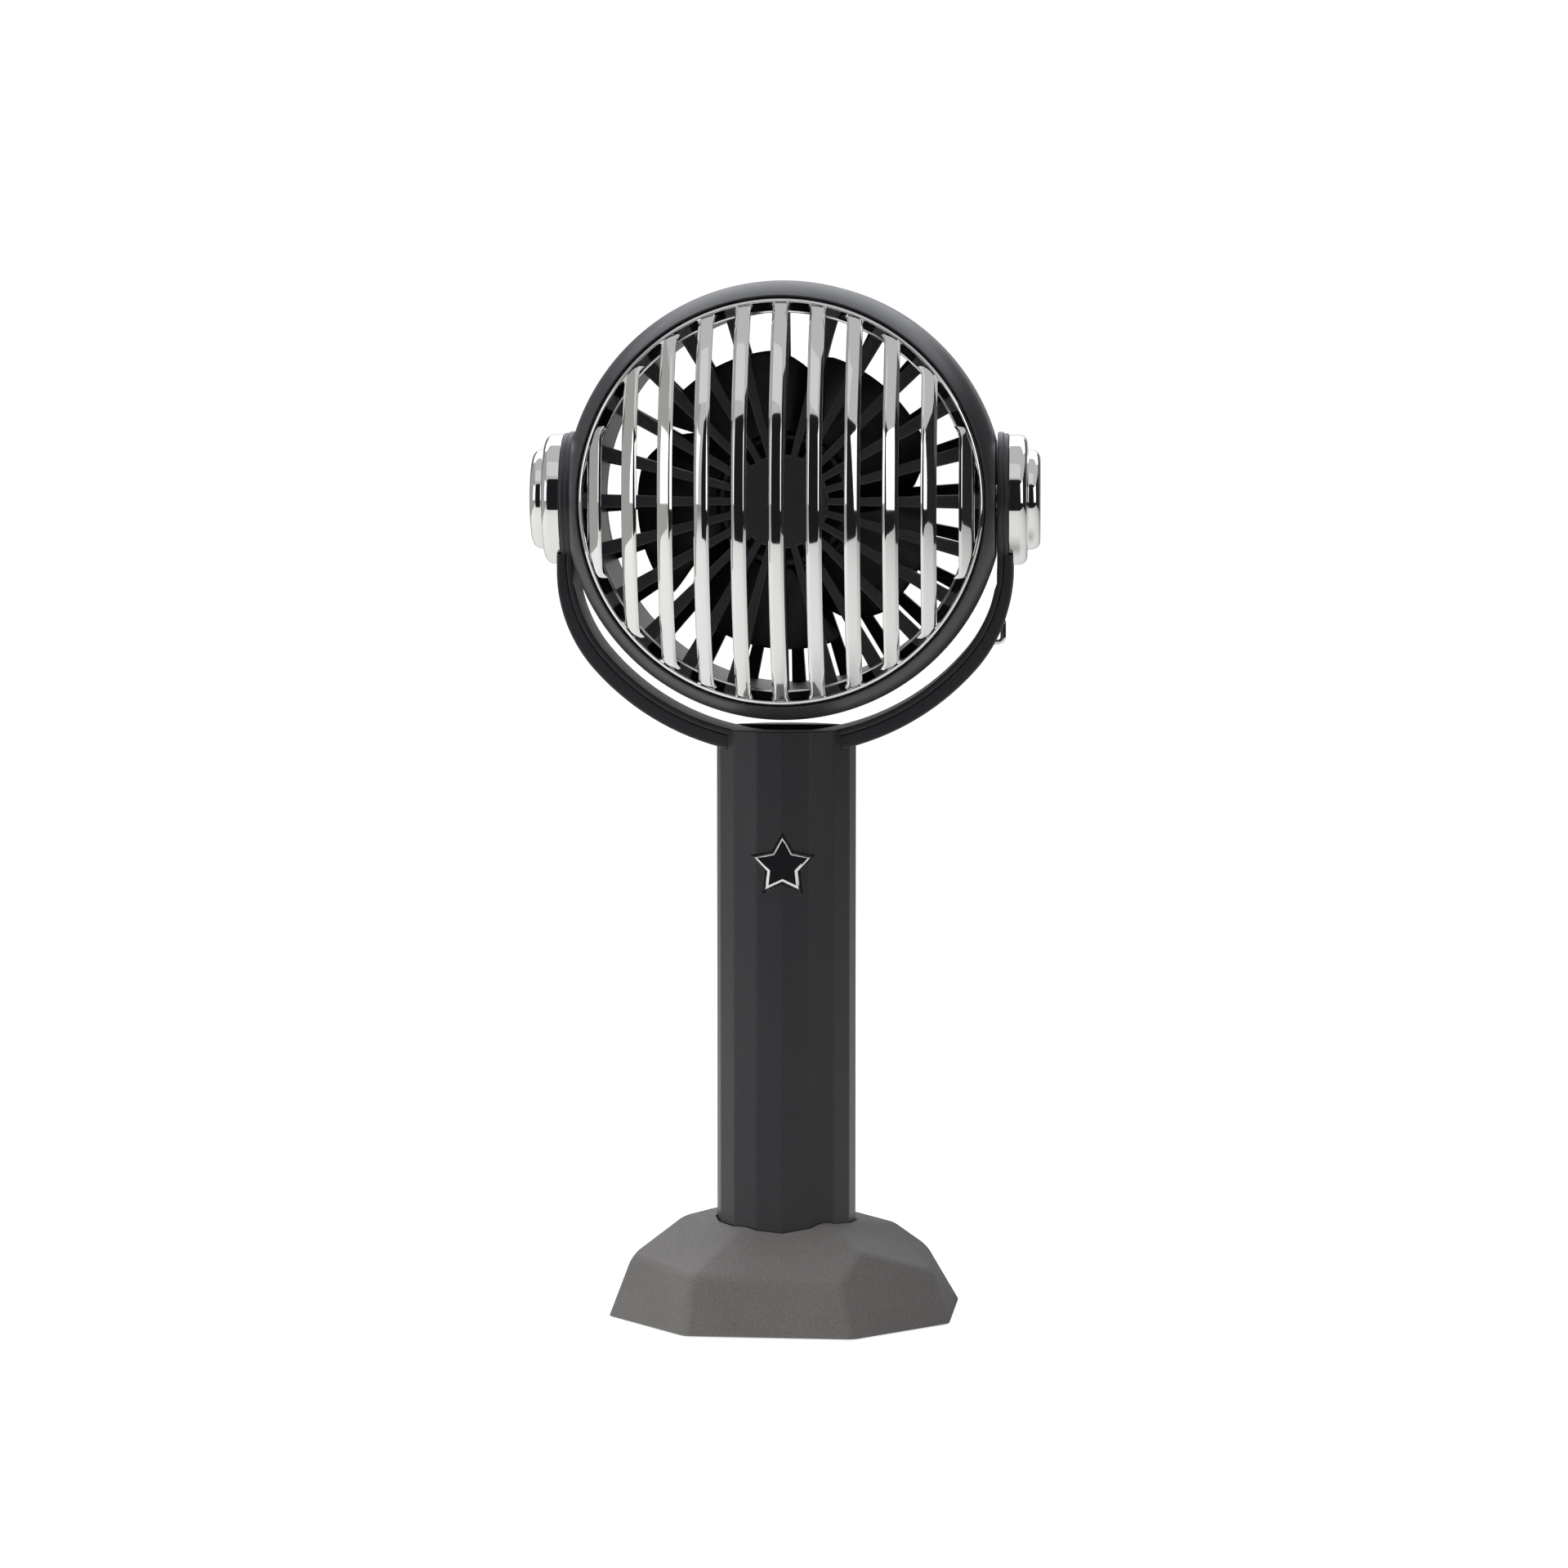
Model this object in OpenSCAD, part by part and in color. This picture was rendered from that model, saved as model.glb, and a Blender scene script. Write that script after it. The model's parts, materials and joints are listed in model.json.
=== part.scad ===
// Rechargeable hand fan that stands in a faceted desk stand.
// Front of the fan is -Y, +X is right, +Z is up. The origin is on the stand's underside.

/* [Head] */
// Height of the tilt axis above the table
tilt_z = 167; // [150:1:190]
// Outer radius of the head housing
head_r = 44.3; // [40:0.1:54]
// Half of the head housing's depth
head_half = 21; // [20:0.5:24]
// How far the housing's ends are rounded in
head_round = 3; // [2:0.1:4]
// Wall of the head housing
head_wall = 2.2; // [1.8:0.1:2.4]
// Depth of the flat on each side of the housing
head_flat = 1.6; // [1.2:0.1:1.8]
// Where the rear half of the housing meets the front half
housing_split = 9; // [8.5:0.5:11]

/* [Grille] */
// Width of the chrome ring, measured along the radius
ring_w = 3.1; // [2.8:0.1:3.6]
// Depth of the chrome ring
ring_d = 4.9; // [4:0.1:5.5]
// Number of upright bars
bars = 11; // [9:2:13]
// Width of one bar
bar_w = 3.2; // [2.4:0.1:3.6]
// Thickness of one bar
bar_t = 2; // [1.6:0.1:2.4]
// How far the bars bulge in front of the ring
dome_rise = 17; // [12:0.5:18]

/* [Guards] */
// Spokes in each guard
spokes = 24; // [16:1:26]
// Width of a guard spoke at the hub
spoke_in = 1.4; // [1.2:0.1:1.8]
// Width of a guard spoke at the rim
spoke_out = 2.9; // [2.2:0.1:3.4]
// Thickness of each guard
guard_t = 3; // [2:0.1:3.4]
// Radius of the front guard's disc
guard_disc_r = 9.5; // [8:0.5:12]
// Turn of the rear guard against the front one
guard_turn = -2.5; // [-7:0.5:7]
// Wall of the duct liner
duct_wall = 1.4; // [1:0.1:1.8]

/* [Fan] */
// Number of blades
blades = 5; // [3:1:6]
// Gap between the blade tips and the duct
tip_gap = 7.8; // [2:0.2:9]
// Radius of the impeller's hub
hub_r = 14; // [13.8:0.1:16]
// Angle left open between two blades at the tip
blade_gap = 9; // [6:1:16]
// Sweep of a blade's edges between tip and hub
blade_sweep = 24; // [0:1:30]
// Pitch of the blades
blade_pitch = 21; // [12:1:22]
// Thickness of a blade
blade_t = 1.3; // [1:0.1:1.8]

/* [Motor] */
// Outer radius of the motor can
can_r = 12.2; // [11:0.1:12.4]
// Length of the motor can
can_len = 12.4; // [12:0.1:12.6]
// Radius of the motor shaft
shaft_r = 1; // [0.8:0.1:1.2]

/* [Yoke] */
// Thickness of the yoke at its lowest point, both layers
yoke_t = 4.1; // [3.6:0.1:4.6]
// Thickness of the yoke's upright arms, both layers
arm_t = 3.25; // [3:0.05:3.6]
// Thickness of the inner layer
liner_t = 1.2; // [1:0.1:1.4]
// Half of the yoke's width, front to back
yoke_half = 7.9; // [7:0.1:9]
// Room between the yoke and the corners of the tilting head
yoke_room = 1.36; // [1.2:0.02:2]
// Blend radius of the yoke's outer corners
yoke_blend = 30; // [26:1:34]
// Blend radius of the yoke's inner corners
liner_blend = 28; // [24:1:30]
// Radius of the round boss at each pivot
boss_r = 13.5; // [12:0.1:14]
// How deep the pivot cap is let into the arm
boss_sink = 1; // [0.8:0.1:1.1]
// Radius of the pivot pins
pin_r = 3; // [2.6:0.1:3.4]

/* [Pivot caps] */
// Height of a cap's wide step
cap_step = 3.8; // [3.4:0.1:4.6]
// Height of a cap's narrow step
cap_top = 2.6; // [2.2:0.1:3]
// Radius of a cap's narrow step
cap_top_r = 10.1; // [9.6:0.1:11]
// Rounding of a cap's edges
cap_round = 2; // [1:0.1:2.1]

/* [Handle] */
// Radius of the handle, to its corners
handle_r = 14.3; // [14:0.1:17.5]
// Number of sides
handle_sides = 16; // [12:2:20]
// Wall of the handle's shells
handle_wall = 1.7; // [1.4:0.1:1.8]
// How far the front and rear lips rise beside the yoke
lip_rise = 5.3; // [4.5:0.1:5.5]
// Height of the star button's centre
button_z = 93.3; // [80:0.1:98]
// Radius of the star to its tips
star_r = 6; // [5:0.1:6.6]
// How far the star stands proud of the handle's corner
star_proud = 0.6; // [0.4:0.1:1]
// Travel of the button
button_travel = 0.5; // [0.3:0.05:0.6]

/* [Battery] */
// Radius of the battery cell
cell_r = 9.2; // [7:0.1:9.3]
// Length of the battery cell
cell_len = 65; // [50:1:66]

/* [Stand] */
// Radius of the stand at the table
stand_r = 38; // [36:0.5:46]
// Height of the socket's rim
stand_h = 20.3; // [18:0.1:24]
// Depth of the socket
socket_depth = 15; // [12:0.5:15.5]
// Radius of the ballast disc
weight_r = 26; // [20:0.5:27]
// Thickness of the anti-slip pad
pad_t = 0.8; // [0.6:0.1:1]

/* [Clearances] */
// Gap between parts that move past each other
gap = 0.35; // [0.3:0.05:0.4]
// Radial play of a running fit
play = 0.05; // [0.02:0.01:0.08]
// Gap between parts that are fixed together
seat = 0.05; // [0.02:0.01:0.1]

/* [Hidden] */
$fn = 96;
eps = 0.01;

// head
barrel_half = head_half - 10;
rim_r = head_r - head_round;
round_len = head_half - barrel_half;
round_r = (round_len * round_len + head_round * head_round) / (2 * head_round);
sweep_r = norm([head_r - round_r, barrel_half]) + round_r;
flat_x = head_r - head_flat;
ring_ledge = 0.4;
ring_r = rim_r - ring_ledge;
ring_front = -head_half - 0.5;
ring_back = ring_front + ring_d;
ring_in_r = ring_r - ring_w;
lip_w = 1.3;
lip_r = ring_r - lip_w;
dome_r = (lip_r * lip_r + dome_rise * dome_rise) / (2 * dome_rise);
dome_y = ring_front - dome_rise + dome_r;
bar_inset = 0.6;
bar_bevel = 0.6;
bar_pitch = 2 * (ring_in_r - bar_inset) / (bars - 1);
guard_front = ring_back + seat;
guard_back = guard_front + guard_t;
duct_r = ring_in_r + 0.5;
rear_inset = 1.6;
rear_guard_y = head_half - rear_inset - guard_t;
duct_gap = 0.4;
spigot_gap = 0.15;
spigot_t = 0.85;
tip_r = duct_r - tip_gap;

// fan and motor
can_front = 4.8;
can_back = can_front + can_len;
can_wall = 0.8;
cup_wall = 1.4;
hub_front = -8;
hub_back = can_front - 1;
hub_wall = 1.4;
hub_face = 1.6;
hub_boss_r = 3;
motor_screw_x = 7;
lead_hole_r = 1.4;
lead_hole_z = 6;
bush_r = 2.6;
bush_len = 1.6;
magnet_r = can_r - can_wall - seat;
core_r = can_r - can_wall - 3.3;
core_half = 2.8;
core_y = can_front + can_len / 2 - 1.4;
winding_t = 1.05;
commutator_len = 1.6;
commutator_y = core_y + core_half + winding_t + 0.25;
end_cap_t = 1.4;

// yoke
reach = norm([rim_r, head_half]);
yoke_in_r = reach + yoke_room;
yoke_out_r = yoke_in_r + yoke_t;
yoke_in_x = flat_x + gap;
arm_x = yoke_in_x + arm_t;
boss_x = arm_x - boss_sink;
liner_half = yoke_half + 0.15;
groove = 0.7;
lead_w = 3;
tongue_x = 9;
tongue_y = 6;
tongue_len = 10;
loop_w = 4.2;
loop_h = 6;
loop_rod = 0.6;
loop_at = [arm_x - 3.7, yoke_half + 1.2, tilt_z - 27];
cap_r = boss_r - 0.3;
cap_hollow_r = 8.2;
washer_r = 6.4;
washer_t = 0.5;
pin_head_r = 5.2;
pin_head_t = 1.4;
pin_pad_r = 8;
pin_seat_x = duct_r + duct_wall + 0.2;
lead_r = 0.45;
lead_x = pin_seat_x + lead_r + 0.15;

// handle
yoke_bottom = tilt_z - yoke_out_r;
lip_top = yoke_bottom + lip_rise;
cavity_top = yoke_bottom - 1.8;
socket_floor = stand_h - socket_depth;
handle_bottom = socket_floor + gap;
shell_bottom = handle_bottom + 1.5;
cavity_r = handle_r - handle_wall / cos(180 / handle_sides);
cavity_flat = cavity_r * cos(180 / handle_sides);
cell_y = cavity_flat - cell_r - 0.4;
cell_room = 2.05;
cell_z = yoke_bottom - tongue_len - cell_room - cell_len;
board_t = 1.2;
board_y = cell_y - cell_r - 1 - board_t;
board_w = 15.4;
board_len = 55.2;
board_z = yoke_bottom - tongue_len - 2 - board_len;
star_face = -handle_r - star_proud;
flange_y = -cavity_flat + gap;
flange_t = 0.9;
flange_r = star_r + 1;
switch_w = 5;
switch_t = 1.5;
plunger_r = 1.1;
socket_z = min(shell_bottom + 24.85, cell_z - 6.15);
inlet_w = 9;
inlet_h = 3.3;
inlet_d = 7.4;
charge_w = 11;
boss_xs = 6.6;
screw_zs = [socket_z - 6, yoke_bottom - 8.8];

// stand
skirt = 0.3;
plate_t = 1.2;
plate_r = 30;
weight_roof = 1.2;
screw_circle_r = 28.2;
screw_len = 5;
corner_round = 0.8;
// corners of the stand as angle, share of the radius left of it, height from the table
stand_foot = [197, 240, 294, 335, 20, 64, 108, 153];
stand_shoulder = [[194, 5.7, 12.4], [236, 6.2, 11.4], [293, 6.8, 11.1], [341, 5.7, 10.3],
    [27, 6, 11.4], [70, 6.4, 12], [112, 6, 10.6], [151, 5.6, 11.8]];
stand_ridge = [[173, 16.8, 19.2], [236, 23, 19.1], [309, 12.2, 15.7], [305, 23.6, 20.3],
    [15, 15.2, 17.6], [66, 15.6, 18.4], [118, 16.2, 19.6]];

// local z runs along +Y from the tilt axis, local y points down
module on_head() translate([0, 0, tilt_z]) rotate([-90, 0, 0]) children();

// local z runs outwards along X from the tilt axis; side is 1 or -1
module on_pivot(side) translate([0, 0, tilt_z]) rotate([0, side * 90, 0]) children();

module tube(r_out, r_in, from, to) translate([0, 0, from]) difference() {
    cylinder(r = r_out, h = to - from);
    translate([0, 0, -1]) cylinder(r = r_in, h = to - from + 2);
}

module rod(r, from, to) translate([0, 0, from]) cylinder(r = r, h = to - from);

function corners(r, n) = [for (i = [0 : n - 1]) r * [cos(360 * i / n), sin(360 * i / n)]];

// head

// outline of the housing: a barrel whose ends are rounded in
module barrel_outline() intersection() {
    translate([0, -head_half]) square([head_r, 2 * head_half]);
    union() {
        translate([0, -barrel_half]) square([head_r, 2 * barrel_half]);
        translate([0, -head_half]) square([head_r - round_r, 2 * head_half]);
        for (s = [-1, 1]) translate([head_r - round_r, s * barrel_half]) circle(r = round_r);
    }
}

module barrel(from, to) intersection() {
    rotate_extrude() barrel_outline();
    translate([-flat_x, -head_r, from]) cube([2 * flat_x, 2 * head_r, to - from]);
}

module pivot_bores() for (s = [-1, 1]) on_pivot(s) rod(pin_r + play, 0, arm_x + 5);

// slot beside the right pin that lets the lead turn towards the back
module lead_channel(to) translate([pin_seat_x - 1, -lead_r - 0.1, tilt_z - lead_r - 0.2])
    cube([2 * lead_r + 1.35, to + lead_r + 0.1, 2 * lead_r + 0.4]);

module front_housing() color("dimgray") {
    difference() {
        on_head() difference() {
            barrel(-head_half, housing_split);
            rod(ring_r + seat, -head_half - 1, guard_back);
            rod(head_r - head_wall, guard_back, housing_split + 1);
        }
        pivot_bores();
    }
    difference() {
        for (s = [-1, 1]) on_pivot(s) rod(pin_pad_r, pin_seat_x, flat_x - 0.4);
        pivot_bores();
        lead_channel(housing_split);
    }
}

module rear_housing() color("dimgray") on_head() {
    difference() {
        barrel(housing_split, head_half);
        rod(head_r - head_wall, housing_split - 1, rear_guard_y);
        rod(duct_r + duct_wall + duct_gap, rear_guard_y - 2, head_half + 1);
    }
    tube(head_r - head_wall - spigot_gap, head_r - head_wall - spigot_gap - spigot_t,
        housing_split - 0.5, rear_guard_y - 0.5);
}

module duct_liner() color("black") on_head() difference() {
    tube(duct_r + duct_wall, duct_r, guard_back + seat, rear_guard_y - seat);
    translate([duct_r - 1, -lead_r - 0.2, rear_guard_y - 2 * lead_r - 0.3])
        cube([duct_wall + 2, 2 * lead_r + 0.4, 2]);
}

// depth of the dome's skin at x, measured from the centre line of its bars
function skin(x) = sqrt(dome_r * dome_r - x * x);

// one upright bar: a strip of the dome with bevelled edges and flat sides
module grille_bar(x) {
    half = bar_w / 2;
    intersection() {
        translate([x, 0, dome_y]) rotate([0, 90, 0]) rotate_extrude() polygon([
            [skin(x - half) - bar_t, -half + 0.3], [skin(x - half) - bar_bevel, -half],
            [skin(x - half + bar_bevel), -half + bar_bevel],
            [skin(x + half - bar_bevel), half - bar_bevel],
            [skin(x + half) - bar_bevel, half], [skin(x + half) - bar_t, half - 0.3]]);
        rod(lip_r + 0.6, ring_front - dome_rise - 1, ring_front + 1.2);
    }
}

module chrome_grille() color("silver") on_head() {
    rotate_extrude() polygon([[ring_r, ring_back], [ring_r, ring_front + 0.6],
        [ring_r - 0.5, ring_front], [lip_r + 0.4, ring_front], [lip_r, ring_front + 0.5],
        [ring_in_r, ring_back]]);
    for (i = [0 : bars - 1]) grille_bar((i - (bars - 1) / 2) * bar_pitch);
}

module spoke_wheel(hub, rim_in, rim_out, turn) {
    circle(r = hub);
    difference() {
        circle(r = rim_out);
        circle(r = rim_in);
    }
    for (i = [0 : spokes - 1]) rotate(turn + i * 360 / spokes) polygon([
        [hub - 1, -spoke_in / 2], [rim_in + 0.5, -spoke_out / 2],
        [rim_in + 0.5, spoke_out / 2], [hub - 1, spoke_in / 2]]);
}

module front_guard() color("dimgray") on_head() translate([0, 0, guard_front])
    linear_extrude(guard_t) spoke_wheel(guard_disc_r, duct_r, ring_r, 0);

module rear_guard() color("black") on_head() difference() {
    union() {
        translate([0, 0, rear_guard_y]) linear_extrude(guard_t)
            spoke_wheel(can_r + cup_wall, duct_r, duct_r + duct_wall + duct_gap - 0.1, guard_turn);
        rod(can_r + cup_wall, can_front + 4, rear_guard_y + guard_t);
    }
    rod(can_r + seat, can_front, can_back + seat);
    for (s = [-1, 1]) translate([s * motor_screw_x, 0, 0]) rod(1.1, can_back - 1, head_half);
    translate([0, lead_hole_z, can_back - 1]) cylinder(r = lead_hole_r, h = 8);
}

// fan and motor

blade_span = 360 / blades - blade_gap;
function edge_turn(r) = blade_sweep * pow((tip_r - r) / (tip_r - hub_r), 1.3);
function blade_edge(side, n) = [for (i = [0 : n])
    let (r = hub_r - 1 + (tip_r - hub_r + 1) * i / n,
        a = side * blade_span / 2 + edge_turn(min(tip_r, max(r, hub_r))))
    r * [cos(a), sin(a)]];
function reversed(list) = [for (i = [len(list) - 1 : -1 : 0]) list[i]];

module blade() intersection() {
    translate([0, 0, -10]) linear_extrude(20) intersection() {
        polygon(concat(blade_edge(-1, 6), [[tip_r / cos(blade_span / 2), 0]],
            reversed(blade_edge(1, 6))));
        circle(r = tip_r);
    }
    rotate([blade_pitch, 0, 0])
        translate([0, -30, -blade_t / 2]) cube([tip_r + 1, 60, blade_t]);
}

module impeller() color("black") on_head() {
    difference() {
        rod(hub_r, hub_front, hub_back);
        rod(hub_r - hub_wall, hub_front + hub_face, hub_back + 1);
        rod(shaft_r, hub_front + 1, hub_back + 1);
    }
    tube(hub_boss_r, shaft_r, hub_front + hub_face - 0.1, hub_back - 1.2);
    difference() {
        for (i = [0 : blades - 1]) rotate(-80 + (i + 0.5) * 360 / blades) blade();
        rod(hub_r - 0.5, -15, 15);
    }
}

module motor_shaft() color("silver") on_head()
    rod(shaft_r, hub_front + hub_face, can_back - 0.6);

module armature_core() color("darkgray") on_head() difference() {
    rod(core_r, core_y - core_half, core_y + core_half);
    rod(shaft_r, core_y - 5, core_y + 5);
    for (i = [0 : 2]) rotate(i * 120) {
        translate([core_r - 1, 0, core_y - 5]) translate([0, -0.5, 0]) cube([2, 1, 10]);
        translate([5.2, 0, 0]) rod(1.6, core_y - 5, core_y + 5);
    }
}

module armature_windings() color("peru") on_head() for (from = [core_y - core_half - winding_t,
        core_y + core_half + seat])
    tube(core_r - 1.4, bush_r + 0.2, from, from + winding_t - seat);

module commutator() color("goldenrod") on_head()
    tube(shaft_r + 1.4, shaft_r, commutator_y, commutator_y + commutator_len);

module motor_can() color("silver") on_head() {
    difference() {
        rod(can_r, can_front, can_back);
        rod(can_r - can_wall, can_front + can_wall, can_back + 1);
        rod(bush_r + seat, can_front - 1, can_front + 2);
    }
}

module motor_magnets() color("dimgray") on_head() intersection() {
    tube(magnet_r, core_r + 0.4, can_front + can_wall + 0.4, can_back - end_cap_t - 0.5);
    for (s = [-1, 1]) translate([s > 0 ? 2.6 : -15, -15, 0]) cube([12.4, 30, 30]);
}

module motor_bushes() color("goldenrod") on_head() {
    tube(bush_r, shaft_r + 0.02, can_front - 0.4, can_front - 0.4 + bush_len);
    tube(bush_r, shaft_r + 0.02, can_back - bush_len, can_back);
}

module motor_end_cap() color("ivory") on_head() {
    tube(can_r - can_wall - seat, bush_r + seat, can_back - end_cap_t, can_back);
    for (s = [-1, 1]) translate([s * (shaft_r + 1.9), -0.8, can_back - end_cap_t - 1.6])
        translate([-0.25, 0, 0]) cube([0.5, 1.6, 1.7]);
}

module motor_screws() color("silver") on_head() for (s = [-1, 1])
    translate([s * motor_screw_x, 0, 0]) {
        rod(1, can_back + seat, rear_guard_y + guard_t);
        rod(1.9, rear_guard_y + guard_t, rear_guard_y + guard_t + 1);
    }

module pivot_pin(side) on_pivot(side) {
    rod(pin_r, pin_seat_x, boss_x + washer_t + 0.1);
    rod(pin_head_r, boss_x + washer_t + 0.1, boss_x + washer_t + 0.1 + pin_head_t);
}

module left_pivot_pin() color("silver") difference() {
    pivot_pin(-1);
    on_pivot(-1) translate([-3, -0.4, boss_x + washer_t + pin_head_t - 0.6])
        cube([6, 0.8, 2]);
}

module right_pivot_pin() color("silver") difference() {
    pivot_pin(1);
    on_pivot(1) rod(1.3, 0, boss_x + 5);
    lead_channel(pin_r + 1);
}

// the lead comes through the right pin, turns back beside the duct and in to the motor
module head_lead() color("black") {
    lead_y = rear_guard_y - lead_r - 0.1;
    on_pivot(1) rod(lead_r, lead_x, boss_x + washer_t + 1);
    on_head() {
        translate([lead_x, 0, 0]) {
            sphere(r = lead_r);
            rod(lead_r, 0, lead_y);
            translate([0, 0, lead_y]) sphere(r = lead_r);
        }
        translate([0, 0, lead_y]) rotate([0, 90, 0])
            rod(lead_r, can_r + cup_wall + seat, lead_x);
    }
}

// yoke

// region under a bow: round below, blended into upright sides
module bow(r, x, blend) {
    cx = x - blend;
    cy = -sqrt(pow(r - blend, 2) - cx * cx);
    intersection() {
        circle(r = r);
        polygon([[0, 0], [2 * r * cx / cy, -2 * r], [-2 * r * cx / cy, -2 * r]]);
    }
    for (s = [-1, 1]) translate([s * cx, cy]) circle(r = blend);
    translate([-x, cy]) square([2 * x, -cy]);
}

module bow_in(extra) bow(yoke_in_r + extra, yoke_in_x + extra, liner_blend + extra);

module across(half) translate([0, half, tilt_z]) rotate([90, 0, 0])
    linear_extrude(2 * half) children();

// what the tilting head sweeps, with its clearance
module head_sweep() translate([0, 0, tilt_z]) intersection() {
    sphere(r = sweep_r + gap);
    translate([seat - yoke_in_x, -head_r, -2 * head_r])
        cube([2 * (yoke_in_x - seat), 2 * head_r, 2 * head_r - boss_r - 1]);
}

module band(half) across(half) difference() {
    intersection() {
        children(0);
        translate([-100, -100]) square([200, 100]);
    }
    children(1);
}

module yoke() color("dimgray") difference() {
    union() {
        band(yoke_half) {
            bow(yoke_out_r, arm_x, yoke_blend);
            bow_in(liner_t);
        }
        for (s = [-1, 1]) on_pivot(s) rod(boss_r, yoke_in_x + liner_t, boss_x);
        translate([-tongue_x, -tongue_y, yoke_bottom - tongue_len])
            cube([2 * tongue_x, 2 * tongue_y, tongue_len + 1]);
    }
    for (s = [-1, 1]) on_pivot(s) {
        rod(boss_r, boss_x, arm_x + 5);
        rod(boss_r + 0.35, flat_x, yoke_in_x + liner_t);
    }
    pivot_bores();
    intersection() {
        band(lead_w / 2 + 0.1) {
            bow_in(liner_t + groove);
            bow_in(liner_t);
        }
        translate([0, -5, yoke_bottom]) cube([80, 10, yoke_out_r - boss_r - 1]);
    }
    translate([-0.1, -lead_w / 2 - 0.1, yoke_bottom - tongue_len - 1])
        cube([groove + 0.2, lead_w + 0.2, tongue_len + yoke_t]);
    for (s = [-1, 1]) translate([s * boss_xs, 0, screw_zs[1]]) rotate([90, 0, 0])
        cylinder(r = 1.3, h = 2 * tongue_y + 2, center = true);
}

module yoke_liner() color("dimgray") difference() {
    union() {
        band(liner_half) {
            bow_in(liner_t);
            bow_in(0);
        }
        for (s = [-1, 1]) on_pivot(s) rod(boss_r + 0.3, yoke_in_x, yoke_in_x + liner_t);
    }
    pivot_bores();
    head_sweep();
}

// turned outline of a step with a rounded edge
module step_outline(r, h) {
    square([r - cap_round, h]);
    square([r, h - cap_round]);
    translate([r - cap_round, h - cap_round]) intersection() {
        circle(r = cap_round);
        square(cap_round);
    }
}

module pivot_cap(side) on_pivot(side) translate([0, 0, boss_x]) difference() {
    rotate_extrude() difference() {
        union() {
            step_outline(cap_r, cap_step);
            translate([0, cap_step - 1]) step_outline(cap_top_r, cap_top + 1);
        }
        translate([-cap_r, -1]) square([cap_r, cap_step + cap_top + 2]);
    }
    rod(cap_hollow_r, -1, cap_step);
}

module left_pivot_cap() color("silver") pivot_cap(-1);

module right_pivot_cap() color("silver") pivot_cap(1);

module pivot_washers() color("gray") for (s = [-1, 1]) on_pivot(s)
    tube(washer_r, pin_r + 0.08, boss_x, boss_x + washer_t);

module yoke_lead() color("firebrick") {
    intersection() {
        band(lead_w / 2) {
            bow_in(liner_t + groove - seat);
            bow_in(liner_t + seat);
        }
        translate([0, -5, yoke_bottom]) cube([80, 10, yoke_out_r - boss_r - 1.2]);
    }
    translate([0, -lead_w / 2, yoke_bottom - tongue_len + 0.5])
        cube([groove, lead_w, tongue_len + yoke_t - liner_t - seat - 0.6]);
}

module rounded(w, h, r) {
    for (x = [-1, 1], y = [-1, 1]) translate([x * (w / 2 - r), y * (h / 2 - r)])
        circle(r = r);
    square([w, h - 2 * r], center = true);
    square([w - 2 * r, h], center = true);
}

module lanyard_loop() color("silver") {
    translate(loop_at) rotate([90, 0, 0]) linear_extrude(2 * loop_rod, center = true)
        difference() {
            rounded(loop_w, loop_h, 1.5);
            rounded(loop_w - 4 * loop_rod, loop_h - 4 * loop_rod, 0.5);
        }
    for (x = [0, 1.2]) translate(loop_at + [x, 0, loop_h / 2 - loop_rod])
        rotate([90, 0, 0]) cylinder(r = loop_rod - 0.05, h = loop_at[1] - liner_half - seat);
}

// handle

module prism(r, from, to) translate([0, 0, from])
    linear_extrude(to - from) polygon(corners(r, handle_sides));

module star(r) polygon([for (i = [0 : 9])
    (i % 2 == 0 ? r : 0.54 * r) * [sin(i * 36), cos(i * 36)]]);

// local z runs along +Y from the button's centre
module on_button() translate([0, 0, button_z]) rotate([-90, 0, 0]) rotate([0, 0, 180])
    children();

module yoke_space() {
    translate([0, 0, tilt_z]) rotate([90, 0, 0])
        cylinder(r = yoke_out_r + seat, h = 2 * liner_half + 0.1, center = true);
    translate([-tongue_x - seat, -tongue_y - seat, cavity_top - 1])
        cube([2 * tongue_x + 2 * seat, 2 * tongue_y + 2 * seat, 20]);
}

module handle_shell(side) intersection() {
    difference() {
        union() {
            difference() {
                prism(handle_r, shell_bottom, lip_top);
                prism(cavity_r, shell_bottom - 1, cavity_top);
            }
            for (x = [-1, 1], z = screw_zs) intersection() {
                translate([x * boss_xs, 0, z]) rotate([90, 0, 0])
                    cylinder(r = 2.4, h = 2 * handle_r, center = true);
                prism(handle_r - 0.5, shell_bottom, lip_top);
            }
        }
        yoke_space();
        for (x = [-1, 1], z = screw_zs) translate([x * boss_xs, 0, z]) rotate([-90, 0, 0]) {
            rod(1.1, -8.5, handle_r);
            rod(2.05, cavity_flat - 2.4, handle_r + 1);
        }
        on_button() translate([0, 0, -handle_r - 1]) linear_extrude(8) star(star_r + 0.65);
        on_button() rod(flange_r + gap, -cavity_flat - 0.05, -5);
        translate([-inlet_w / 2 - 0.3, handle_r - inlet_d, socket_z - inlet_h / 2 - 0.3])
            cube([inlet_w + 0.6, inlet_d, inlet_h + 0.6]);
        translate([-tongue_x - seat, -tongue_y - seat, yoke_bottom - tongue_len - seat])
            cube([2 * tongue_x + 2 * seat, 2 * tongue_y + 2 * seat, 20]);
    }
    translate([-50, side > 0 ? 0 : -50, 0]) cube([100, 50, 200]);
}

module handle_front_shell() color("dimgray") handle_shell(-1);

module handle_rear_shell() color("dimgray") handle_shell(1);

module handle_end_cap() color("dimgray") {
    prism(handle_r - 0.1, handle_bottom, shell_bottom);
    prism(cavity_r - 0.1, shell_bottom - 0.2, shell_bottom + 2);
}

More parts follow.
